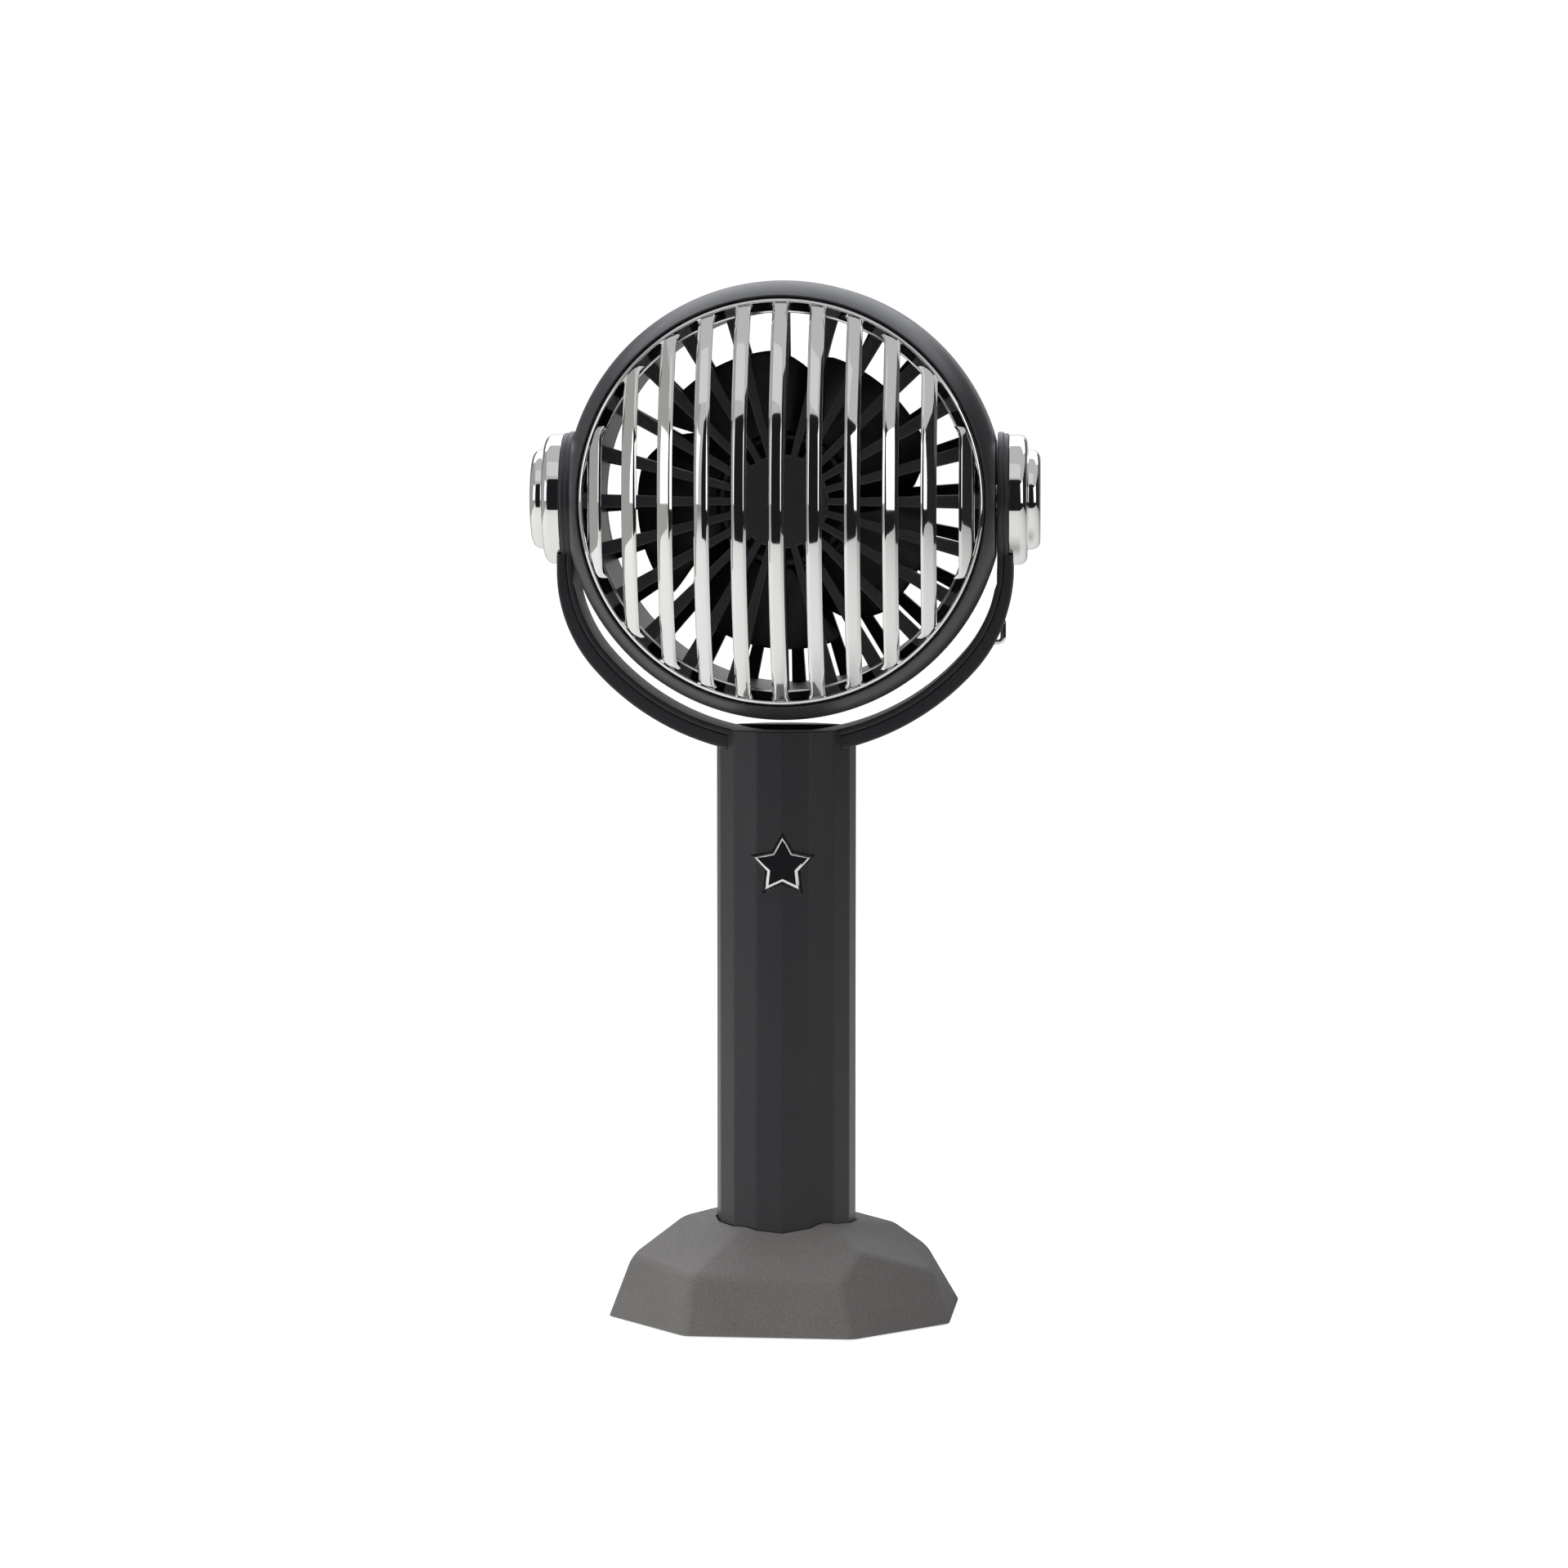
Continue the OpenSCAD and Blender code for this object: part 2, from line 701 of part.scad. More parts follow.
module handle_screws() color("silver") for (x = [-1, 1], z = screw_zs)
    translate([x * boss_xs, 0, z]) rotate([-90, 0, 0]) {
        rod(1, -8, cavity_flat - 2.4);
        rod(2, cavity_flat - 2.4, cavity_flat - 1.2);
    }

module battery_cell() color("royalblue") translate([0, cell_y, cell_z]) {
    cylinder(r = cell_r, h = cell_len);
    cylinder(r = 3.4, h = cell_len + 0.8);
}

module battery_tabs() color("silver") {
    translate([-2.5, board_y + board_t + seat, cell_z + cell_len + 0.85])
        cube([5, cell_y - board_y, 0.3]);
    translate([-2.5, board_y + board_t + seat, cell_z - 0.35])
        cube([5, cell_y - board_y, 0.3]);
}

module main_board() color("darkgreen") difference() {
    translate([-board_w / 2, board_y, board_z]) cube([board_w, board_t, board_len]);
    for (z = [3, board_len - 3]) translate([0, board_y - 1, board_z + z])
        rotate([-90, 0, 0]) cylinder(r = 1.1, h = board_t + 2);
}

module power_switch() color("black") on_button() difference() {
    translate([-switch_w / 2, -switch_w / 2, board_y - switch_t])
        cube([switch_w, switch_w, switch_t]);
    rod(plunger_r + play, board_y - switch_t - 1, board_y - 0.3);
}

module charge_board() color("darkgreen")
    translate([-charge_w / 2, -4, socket_z - inlet_h / 2 - 1.3]) cube([charge_w, 14.5, 1.2]);

module charge_socket() color("silver") difference() {
    translate([-inlet_w / 2, handle_r - 0.6 - inlet_d, socket_z - inlet_h / 2])
        cube([inlet_w, inlet_d, inlet_h]);
    translate([-inlet_w / 2 + 0.4, handle_r - inlet_d + 0.6, socket_z - inlet_h / 2 + 0.4])
        cube([inlet_w - 0.8, inlet_d, inlet_h - 0.8]);
}

module star_button() color("silver") on_button() {
    difference() {
        translate([0, 0, star_face]) linear_extrude(flange_y - star_face) star(star_r);
        translate([0, 0, star_face - 1]) linear_extrude(1.5) star(star_r - 1.5);
    }
    rod(flange_r, flange_y - eps, flange_y + flange_t);
}

module switch_plunger() color("ivory") on_button()
    rod(plunger_r, flange_y + flange_t, board_y - 0.3 - button_travel - 0.1);

// stand

function around(angle, r, z) = [r * cos(angle), r * sin(angle), z];

module stand_corners() {
    inset = corner_round;
    for (a = stand_foot) translate(around(a, stand_r - inset, skirt))
        cylinder(r = inset, h = eps, $fn = 12);
    for (c = concat(stand_shoulder, stand_ridge))
        translate(around(c[0], stand_r - c[1] - inset, c[2] * stand_h / 20.3 - inset))
            sphere(r = inset, $fn = 10);
}

module at_screws() for (i = [0 : 2]) rotate(30 + i * 120) translate([screw_circle_r, 0, 0])
    children();

module stand_block() color("gray") difference() {
    hull() stand_corners();
    translate([0, 0, socket_floor]) linear_extrude(30)
        polygon(corners(handle_r + gap, handle_sides));
    rod(plate_r + 0.1, -1, pad_t + plate_t);
    rod(weight_r + 0.1, -1, socket_floor - weight_roof);
    at_screws() rod(0.9, 0, screw_len + 1);
}

module stand_weight() color("darkgray") 
    rod(weight_r, pad_t + plate_t, socket_floor - weight_roof);

module stand_plate() color("dimgray") difference() {
    rod(plate_r, pad_t, pad_t + plate_t);
    at_screws() rod(1, 0, screw_len + 1);
}

module stand_screws() color("silver") at_screws() rod(0.85, pad_t, pad_t + screw_len);

module anti_slip_pad() color("black") rod(plate_r - 0.4, 0, pad_t);

// everything, one line a node

front_housing();
rear_housing();
duct_liner();
chrome_grille();
front_guard();
rear_guard();
impeller();
motor_shaft();
armature_core();
armature_windings();
commutator();
motor_can();
motor_magnets();
motor_bushes();
motor_end_cap();
motor_screws();
left_pivot_pin();
right_pivot_pin();
head_lead();
yoke();
yoke_liner();
left_pivot_cap();
right_pivot_cap();
pivot_washers();
yoke_lead();
lanyard_loop();
handle_front_shell();
handle_rear_shell();
handle_end_cap();
handle_screws();
battery_cell();
battery_tabs();
main_board();
power_switch();
charge_board();
charge_socket();
star_button();
switch_plunger();
stand_block();
stand_weight();
stand_plate();
stand_screws();
anti_slip_pad();
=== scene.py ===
import json
from math import asin, atan2, cos, pi, radians, sin, sqrt

import bmesh
import bpy
from mathutils import Matrix, Vector


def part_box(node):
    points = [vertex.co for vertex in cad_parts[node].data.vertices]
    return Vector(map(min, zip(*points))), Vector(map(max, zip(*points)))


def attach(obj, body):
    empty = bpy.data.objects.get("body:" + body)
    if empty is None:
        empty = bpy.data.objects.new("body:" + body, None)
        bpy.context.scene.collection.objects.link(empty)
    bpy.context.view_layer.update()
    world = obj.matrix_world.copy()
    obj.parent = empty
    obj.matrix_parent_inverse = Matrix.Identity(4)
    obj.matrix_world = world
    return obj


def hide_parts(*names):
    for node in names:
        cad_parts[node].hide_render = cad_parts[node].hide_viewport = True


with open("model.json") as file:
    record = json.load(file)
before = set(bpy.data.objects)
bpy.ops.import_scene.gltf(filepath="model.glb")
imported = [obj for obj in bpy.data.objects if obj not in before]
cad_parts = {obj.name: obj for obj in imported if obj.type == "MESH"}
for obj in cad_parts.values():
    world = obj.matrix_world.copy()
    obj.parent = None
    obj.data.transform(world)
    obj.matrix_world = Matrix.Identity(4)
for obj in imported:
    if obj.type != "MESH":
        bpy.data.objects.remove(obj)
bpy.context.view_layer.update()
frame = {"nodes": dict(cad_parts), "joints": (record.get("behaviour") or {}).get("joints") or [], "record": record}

mm = 0.001
seatGap = 0.05 * mm


def low(node):
    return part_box(node)[0]


def high(node):
    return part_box(node)[1]


# places that more than one piece uses, all read from the frame
pivot = Vector(next(j for j in frame["joints"] if j["name"] == "head_tilt")["pos_m"])
headMatrix = Matrix.Translation(pivot) @ Matrix.Rotation(-pi / 2, 4, "X")
headR = high("front_housing").z - pivot.z
headFront = low("front_housing").y
headSplit = high("front_housing").y
headBack = high("rear_housing").y
ringR = high("chrome_grille").x
guardFront = low("front_guard").y
guardBack = high("front_guard").y
ductR = high("duct_liner").x
ductIn = ductR - 1.4 * mm
rearR = high("rear_guard").x
rearBack = high("rear_guard").y
rearFront = high("duct_liner").y + seatGap
canR = high("motor_can").x
cupR = canR + 1.4 * mm
handleR = high("handle_rear_shell").y
shellBottom = low("handle_front_shell").z
lipTop = high("handle_front_shell").z
yokeHalf = 7.9 * mm
yokeBottom = low("yoke_liner").z - 2.9 * mm


def pivotMatrix(side):
    return Matrix.Translation(pivot) @ Matrix.Rotation(side * pi / 2, 4, "Y")


def roundCorners(bm, corners, cuts, segments):
    for vert, cut in zip(corners, cuts):
        if cut:
            bmesh.ops.bevel(bm, geom=[vert], offset=cut, offset_type="OFFSET", affect="VERTICES",
                            segments=segments, profile=0.5, clamp_overlap=True, material=-1)


def flatOutline(points, segments=5):  # points are (a, b, corner cut); the face lies in XZ
    bm = bmesh.new()
    corners = [bm.verts.new((p[0], 0, p[1])) for p in points]
    bm.faces.new(corners)
    roundCorners(bm, corners, [p[2] if len(p) > 2 else 0 for p in points], segments)
    return bm


def lathe(points, steps=144, segments=5):  # points are (radius, height, corner cut), turned about Z
    bm = flatOutline(points, segments)
    bmesh.ops.delete(bm, geom=bm.faces[:], context="FACES_ONLY")
    onAxis = [e for e in bm.edges if max(abs(v.co.x) for v in e.verts) < 1e-6]
    bmesh.ops.delete(bm, geom=onAxis, context="EDGES")
    bmesh.ops.spin(bm, geom=bm.verts[:] + bm.edges[:], cent=(0, 0, 0), axis=(0, 0, 1),
                   angle=2 * pi, steps=steps, use_merge=True)
    bmesh.ops.remove_doubles(bm, verts=bm.verts, dist=1e-7)
    bmesh.ops.recalc_face_normals(bm, faces=bm.faces)
    return bm


def extrude(bm, direction):
    made = bmesh.ops.extrude_face_region(bm, geom=bm.faces[:])["geom"]
    bmesh.ops.translate(bm, verts=[v for v in made if isinstance(v, bmesh.types.BMVert)], vec=direction)
    bmesh.ops.recalc_face_normals(bm, faces=bm.faces)
    return bm


def soften(bm, width, segments=2, angle=30, where=None):
    bmesh.ops.recalc_face_normals(bm, faces=bm.faces)
    edges = [e for e in bm.edges if len(e.link_faces) == 2 and e.calc_face_angle(0) > radians(angle)
             and (where is None or where((e.verts[0].co + e.verts[1].co) / 2, e))]
    bmesh.ops.bevel(bm, geom=edges, offset=width, offset_type="OFFSET", affect="EDGES",
                    segments=segments, profile=0.5, clamp_overlap=True, material=-1)
    return bm


def place(bm, matrix):
    bmesh.ops.transform(bm, matrix=matrix, verts=bm.verts)
    return bm


def join(target, *others):
    for other in others:
        mesh = bpy.data.meshes.new("part")
        other.to_mesh(mesh)
        other.free()
        target.from_mesh(mesh)
        bpy.data.meshes.remove(mesh)
    return target


def boxAt(size, centre):
    bm = bmesh.new()
    bmesh.ops.create_cube(bm, size=1)
    bmesh.ops.scale(bm, vec=size, verts=bm.verts)
    bmesh.ops.translate(bm, vec=centre, verts=bm.verts)
    return bm


def combine(bm, operation, *tools):  # a solid, less or with other solids
    body = asObject("body", bm)
    for tool in tools:
        other = asObject("tool", tool)
        step = body.modifiers.new("step", "BOOLEAN")
        step.operation, step.solver, step.object = operation, "EXACT", other
    graph = bpy.context.evaluated_depsgraph_get()
    result = bmesh.new()
    result.from_mesh(body.evaluated_get(graph).to_mesh())
    for step in list(body.modifiers):
        drop(step.object)
    drop(body)
    bmesh.ops.remove_doubles(result, verts=result.verts, dist=1e-6)
    bmesh.ops.dissolve_degenerate(result, edges=result.edges, dist=1e-6)
    return result


def asObject(name, bm):
    mesh = bpy.data.meshes.new(name)
    bm.to_mesh(mesh)
    bm.free()
    made = bpy.data.objects.new(name, mesh)
    bpy.context.scene.collection.objects.link(made)
    return made


def drop(made):
    mesh = made.data
    bpy.data.objects.remove(made)
    bpy.data.meshes.remove(mesh)


def finishPiece(name, bm, body, material, nodes, sharp=30, weighted=True):
    bmesh.ops.remove_doubles(bm, verts=bm.verts, dist=1e-7)
    piece = asObject(name, bm)
    piece.data.shade_smooth()
    piece.data.set_sharp_from_angle(angle=radians(sharp))
    piece.data.materials.append(material)
    if weighted:
        even = piece.modifiers.new("even", "WEIGHTED_NORMAL")
        even.keep_sharp = True
    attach(piece, body)
    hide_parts(*nodes)
    return piece


def nodeGroup(name, inputs, outputs):
    group = bpy.data.node_groups.new(name, "ShaderNodeTree")
    for label, kind, value in inputs:
        socket = group.interface.new_socket(label, in_out="INPUT", socket_type=kind)
        if value is not None:
            socket.default_value = value
    for label, kind in outputs:
        group.interface.new_socket(label, in_out="OUTPUT", socket_type=kind)
    return group, group.nodes.new("NodeGroupInput"), group.nodes.new("NodeGroupOutput")


def addNode(tree, kind, settings=None, **values):
    made = tree.nodes.new(kind)
    for key, value in (settings or {}).items():
        setattr(made, key, value)
    for key, value in values.items():
        made.inputs[key.replace("_", " ")].default_value = value
    return made


# moulded plastic: broad tone drift, fine spark-eroded grain, small scuffs
def makeGrainGroup():
    group, source, result = nodeGroup(
        "mouldedGrain",
        [("Tone", "NodeSocketColor", None), ("Second Tone", "NodeSocketColor", None),
         ("Grain Size", "NodeSocketFloat", 2600), ("Rough", "NodeSocketFloat", 0.5),
         ("Rough Spread", "NodeSocketFloat", 0.1)],
        [("Color", "NodeSocketColor"), ("Roughness", "NodeSocketFloat"), ("Height", "NodeSocketFloat")])
    link = group.links.new
    coords = addNode(group, "ShaderNodeTexCoord")
    broad = addNode(group, "ShaderNodeTexNoise", Scale=34.0, Detail=4.0, Roughness=0.55)
    fine = addNode(group, "ShaderNodeTexNoise", Detail=2.0, Roughness=0.6)
    scuff = addNode(group, "ShaderNodeTexNoise", Scale=300.0, Detail=5.0, Roughness=0.7, Distortion=1.5)
    link(coords.outputs["Object"], broad.inputs["Vector"])
    link(coords.outputs["Object"], fine.inputs["Vector"])
    link(coords.outputs["Object"], scuff.inputs["Vector"])
    link(source.outputs["Grain Size"], fine.inputs["Scale"])
    drift = addNode(group, "ShaderNodeMapRange", From_Min=0.35, From_Max=0.65)
    link(broad.outputs["Fac"], drift.inputs["Value"])
    tone = addNode(group, "ShaderNodeMix", {"data_type": "RGBA"})
    link(drift.outputs["Result"], tone.inputs["Factor"])
    link(source.outputs["Tone"], tone.inputs["A"])
    link(source.outputs["Second Tone"], tone.inputs["B"])
    specks = addNode(group, "ShaderNodeMapRange", From_Min=0.3, From_Max=0.7, To_Min=0.88, To_Max=1.12)
    link(fine.outputs["Fac"], specks.inputs["Value"])
    shade = addNode(group, "ShaderNodeVectorMath", {"operation": "SCALE"})
    link(tone.outputs["Result"], shade.inputs[0])
    link(specks.outputs["Result"], shade.inputs["Scale"])
    link(shade.outputs["Vector"], result.inputs["Color"])
    spread = addNode(group, "ShaderNodeMath", {"operation": "SUBTRACT"})
    spread.inputs[1].default_value = 0.5
    link(scuff.outputs["Fac"], spread.inputs[0])
    rough = addNode(group, "ShaderNodeMath", {"operation": "MULTIPLY_ADD"})
    link(spread.outputs[0], rough.inputs[0])
    link(source.outputs["Rough Spread"], rough.inputs[1])
    link(source.outputs["Rough"], rough.inputs[2])
    link(rough.outputs[0], result.inputs["Roughness"])
    link(fine.outputs["Fac"], result.inputs["Height"])
    return group


# edges that hands and moulds have worn, found from how far a rounded normal leans
def makeEdgeGroup():
    group, source, result = nodeGroup(
        "edgeWear",
        [("Radius", "NodeSocketFloat", 0.0006), ("Amount", "NodeSocketFloat", 1.0),
         ("Breakup", "NodeSocketFloat", 700.0)],
        [("Mask", "NodeSocketFloat")])
    link = group.links.new
    rounded = addNode(group, "ShaderNodeBevel", {"samples": 4})
    geometry = addNode(group, "ShaderNodeNewGeometry")
    lean = addNode(group, "ShaderNodeVectorMath", {"operation": "DOT_PRODUCT"})
    link(source.outputs["Radius"], rounded.inputs["Radius"])
    link(rounded.outputs["Normal"], lean.inputs[0])
    link(geometry.outputs["Normal"], lean.inputs[1])
    edge = addNode(group, "ShaderNodeMapRange", From_Min=0.998, From_Max=0.93)
    link(lean.outputs["Value"], edge.inputs["Value"])
    coords = addNode(group, "ShaderNodeTexCoord")
    patches = addNode(group, "ShaderNodeTexNoise", Detail=4.0, Roughness=0.65)
    link(coords.outputs["Object"], patches.inputs["Vector"])
    link(source.outputs["Breakup"], patches.inputs["Scale"])
    worn = addNode(group, "ShaderNodeMapRange", From_Min=0.38, From_Max=0.62)
    link(patches.outputs["Fac"], worn.inputs["Value"])
    both = addNode(group, "ShaderNodeMath", {"operation": "MULTIPLY"})
    link(edge.outputs["Result"], both.inputs[0])
    link(worn.outputs["Result"], both.inputs[1])
    scaled = addNode(group, "ShaderNodeMath", {"operation": "MULTIPLY"})
    link(both.outputs[0], scaled.inputs[0])
    link(source.outputs["Amount"], scaled.inputs[1])
    link(scaled.outputs[0], result.inputs["Mask"])
    return group


# plating or bare metal: faint waviness, hazy fingermarks, fine scratches
def makeMetalGroup():
    group, source, result = nodeGroup(
        "metalSkin",
        [("Polish", "NodeSocketFloat", 0.04), ("Haze", "NodeSocketFloat", 0.05),
         ("Wave Size", "NodeSocketFloat", 90.0)],
        [("Roughness", "NodeSocketFloat"), ("Height", "NodeSocketFloat")])
    link = group.links.new
    coords = addNode(group, "ShaderNodeTexCoord")
    marks = addNode(group, "ShaderNodeTexNoise", Scale=120.0, Detail=6.0, Roughness=0.7)
    wave = addNode(group, "ShaderNodeTexNoise", Detail=1.0)
    link(coords.outputs["Object"], marks.inputs["Vector"])
    link(coords.outputs["Object"], wave.inputs["Vector"])
    link(source.outputs["Wave Size"], wave.inputs["Scale"])
    hazy = addNode(group, "ShaderNodeMapRange", From_Min=0.5, From_Max=0.8)
    link(marks.outputs["Fac"], hazy.inputs["Value"])
    rough = addNode(group, "ShaderNodeMath", {"operation": "MULTIPLY_ADD"})
    link(hazy.outputs["Result"], rough.inputs[0])
    link(source.outputs["Haze"], rough.inputs[1])
    link(source.outputs["Polish"], rough.inputs[2])
    link(rough.outputs[0], result.inputs["Roughness"])
    link(wave.outputs["Fac"], result.inputs["Height"])
    return group


grainGroup, edgeGroup, metalGroup = makeGrainGroup(), makeEdgeGroup(), makeMetalGroup()


def startMaterial(name):
    material = bpy.data.materials.new(name)
    material.use_nodes = True
    tree = material.node_tree
    return material, tree, tree.nodes["Principled BSDF"]


def placeGroup(tree, group, **values):
    made = tree.nodes.new("ShaderNodeGroup")
    made.node_tree = group
    for key, value in values.items():
        made.inputs[key.replace("_", " ")].default_value = value
    return made


def plastic(name, tone, second, rough, grain=2600, bump=0.1, edge=0.0, edgeTone=None, spread=0.12,
            edgeRadius=0.0006, specular=0.5):
    material, tree, shader = startMaterial(name)
    link = tree.links.new
    skin = placeGroup(tree, grainGroup, Tone=(*tone, 1), Second_Tone=(*second, 1), Grain_Size=grain,
                      Rough=rough, Rough_Spread=spread)
    shader.inputs["Specular IOR Level"].default_value = specular
    relief = addNode(tree, "ShaderNodeBump", Strength=bump, Distance=0.0002)
    link(skin.outputs["Height"], relief.inputs["Height"])
    link(relief.outputs["Normal"], shader.inputs["Normal"])
    link(skin.outputs["Roughness"], shader.inputs["Roughness"])
    if edge:
        wear = placeGroup(tree, edgeGroup, Radius=edgeRadius, Amount=edge)
        tint = addNode(tree, "ShaderNodeMix", {"data_type": "RGBA"})
        tint.inputs["B"].default_value = (*edgeTone, 1)
        link(wear.outputs["Mask"], tint.inputs["Factor"])
        link(skin.outputs["Color"], tint.inputs["A"])
        link(tint.outputs["Result"], shader.inputs["Base Color"])
    else:
        link(skin.outputs["Color"], shader.inputs["Base Color"])
    return material


def metal(name, tone, polish, haze, wave=90, bump=0.02):
    material, tree, shader = startMaterial(name)
    link = tree.links.new
    shader.inputs["Base Color"].default_value = (*tone, 1)
    shader.inputs["Metallic"].default_value = 1.0
    skin = placeGroup(tree, metalGroup, Polish=polish, Haze=haze, Wave_Size=wave)
    relief = addNode(tree, "ShaderNodeBump", Strength=bump, Distance=0.0005)
    link(skin.outputs["Height"], relief.inputs["Height"])
    link(relief.outputs["Normal"], shader.inputs["Normal"])
    link(skin.outputs["Roughness"], shader.inputs["Roughness"])
    return material


charcoal = plastic("charcoalShell", (0.027, 0.028, 0.033), (0.032, 0.033, 0.037), 0.36, bump=0.14,
                   edge=0.5, edgeTone=(0.065, 0.066, 0.07), specular=0.42)
guardDark = plastic("guardCharcoal", (0.030, 0.031, 0.036), (0.037, 0.038, 0.043), 0.38, bump=0.12,
                    edge=0.4, edgeTone=(0.075, 0.075, 0.08), edgeRadius=0.0004)
fanBlack = plastic("fanBlack", (0.007, 0.007, 0.009), (0.011, 0.011, 0.013), 0.33, bump=0.07)
standGrey = plastic("standGrey", (0.160, 0.154, 0.150), (0.180, 0.174, 0.169), 0.62, grain=1900,
                    bump=0.22, edge=0.3, edgeTone=(0.22, 0.213, 0.207), edgeRadius=0.0012,
                    spread=0.18, specular=0.35)
chrome = metal("chromePlating", (0.87, 0.875, 0.87), 0.045, 0.05)
slotMaterials = {
    "housing_charcoal": charcoal,
    "guard_charcoal": guardDark,
    "fan_black": fanBlack,
    "chrome_plating": chrome,
    "loop_chrome": chrome,
    "stand_grey": standGrey,
    "pad_rubber": plastic("padRubber", (0.014, 0.014, 0.014), (0.02, 0.02, 0.02), 0.75,
                          grain=900, bump=0.4),
    "stand_steel": plastic("paintedSteel", (0.05, 0.05, 0.053), (0.06, 0.06, 0.063), 0.5,
                           grain=1200, bump=0.2),
    "bright_steel": metal("brightSteel", (0.62, 0.62, 0.62), 0.22, 0.2, wave=900, bump=0.05),
    "magnet_grey": metal("magnetGrey", (0.12, 0.12, 0.13), 0.45, 0.2, wave=700, bump=0.1),
    "bronze": metal("sinteredBronze", (0.55, 0.36, 0.17), 0.38, 0.2, wave=1500, bump=0.1),
    "copper_wire": metal("enamelledCopper", (0.62, 0.24, 0.11), 0.25, 0.15, wave=2500, bump=0.3),
    "ivory_plastic": plastic("ivoryNylon", (0.62, 0.58, 0.48), (0.68, 0.64, 0.54), 0.45, bump=0.1),
    "cell_sleeve": plastic("cellSleeve", (0.02, 0.10, 0.36), (0.03, 0.13, 0.42), 0.3,
                          grain=700, bump=0.05),
    "tab_nickel": metal("nickelTab", (0.60, 0.58, 0.54), 0.25, 0.2, wave=1200, bump=0.06),
    "board_green": plastic("boardGreen", (0.01, 0.10, 0.035), (0.015, 0.13, 0.05), 0.3,
                           grain=1300, bump=0.1),
    "switch_black": plastic("switchNylon", (0.012, 0.012, 0.013), (0.017, 0.017, 0.018), 0.45, bump=0.1),
    "socket_steel": metal("socketSteel", (0.62, 0.62, 0.63), 0.2, 0.2, wave=800, bump=0.04),
    "lead_black": plastic("leadSleeve", (0.010, 0.010, 0.011), (0.015, 0.015, 0.016), 0.4,
                          grain=900, bump=0.1),
}
nodeSlots = {part["node"]: part["material_slot"] for part in frame["record"]["subparts"]}
for name, made in frame["nodes"].items():
    made.data.materials.clear()
    made.data.materials.append(slotMaterials[nodeSlots[name]])
print("materials made")


housing = {
    "roundIn": 3 * mm,  # how far the barrel's ends are rounded in
    "roundRun": 10 * mm,  # over what length
    "wall": 2.2 * mm,
    "flatEdge": 0.5 * mm,
    "lipEdge": 0.25 * mm,
    "seam": 0.18 * mm,  # bevel either side of the joint line between the halves
}


def housingHalf(front):
    h = housing
    inner = headR - h["wall"]
    bore = ringR + seatGap if front else ductR + 0.4 * mm
    ledge = guardBack if front else rearFront
    end = headFront if front else headBack
    tangent = (h["roundRun"] ** 2 + h["roundIn"] ** 2) / (2 * h["roundRun"])
    corner = abs(end) - h["roundRun"] + tangent
    corner = -corner if front else corner
    split = headSplit
    bm = lathe([(bore, end, h["lipEdge"]), (headR - h["roundIn"], end, h["lipEdge"] / 2),
                (headR, corner, tangent - 0.06 * mm),
                (headR, split, h["seam"]), (inner, split), (inner, ledge), (bore, ledge)],
               steps=180, segments=9)
    flat = high("front_housing").x
    for side in (1, -1):
        cut = bmesh.ops.bisect_plane(bm, geom=bm.verts[:] + bm.edges[:] + bm.faces[:], dist=1e-7,
                                     plane_co=(side * flat, 0, 0), plane_no=(side, 0, 0),
                                     clear_outer=True)
        rim = [e for e in cut["geom_cut"] if isinstance(e, bmesh.types.BMEdge)]
        made = bmesh.ops.holes_fill(bm, edges=rim)["faces"]
        edges = [e for face in made for e in face.edges if abs(e.verts[0].co.z - split) > 1e-6
                 or abs(e.verts[1].co.z - split) > 1e-6]
        bmesh.ops.bevel(bm, geom=edges, offset=h["flatEdge"], offset_type="OFFSET", affect="EDGES",
                        segments=3, profile=0.5, clamp_overlap=True, material=-1)
    return place(bm, headMatrix)


def makeHousing():
    finishPiece("front_housing_shell", housingHalf(True), "head", charcoal,
                ["front_housing"], sharp=24)
    finishPiece("rear_housing_shell", housingHalf(False), "head", charcoal,
                ["rear_housing"], sharp=24)
    front, back, edge = guardBack + seatGap, rearFront - seatGap, 0.3 * mm
    duct = lathe([(ductIn, front, edge), (ductR, front), (ductR, back), (ductIn, back, edge)], segments=2)
    finishPiece("duct_sleeve", place(duct, headMatrix), "head", fanBlack, ["duct_liner"])


grille = {
    "front": headFront - 0.5 * mm,
    "back": guardFront - seatGap,
    "innerR": 37.8 * mm,
    "lipR": 39.6 * mm,
    "bars": 11,
    "pitch": 7.44 * mm,
    "width": 3.2 * mm,
    "thick": 2.0 * mm,
    "bevelWidth": 0.62 * mm,  # along a bar's front edges
    "bevelDepth": 0.50 * mm,
    "frontEdge": 0.15 * mm,
    "backEdge": 0.3 * mm,
    "crown": 0.12 * mm,  # how far a bar's face falls away to its edges
    "rise": 17 * mm,
    "footLength": 1.8 * mm,
    "footFlare": 0.45,
}


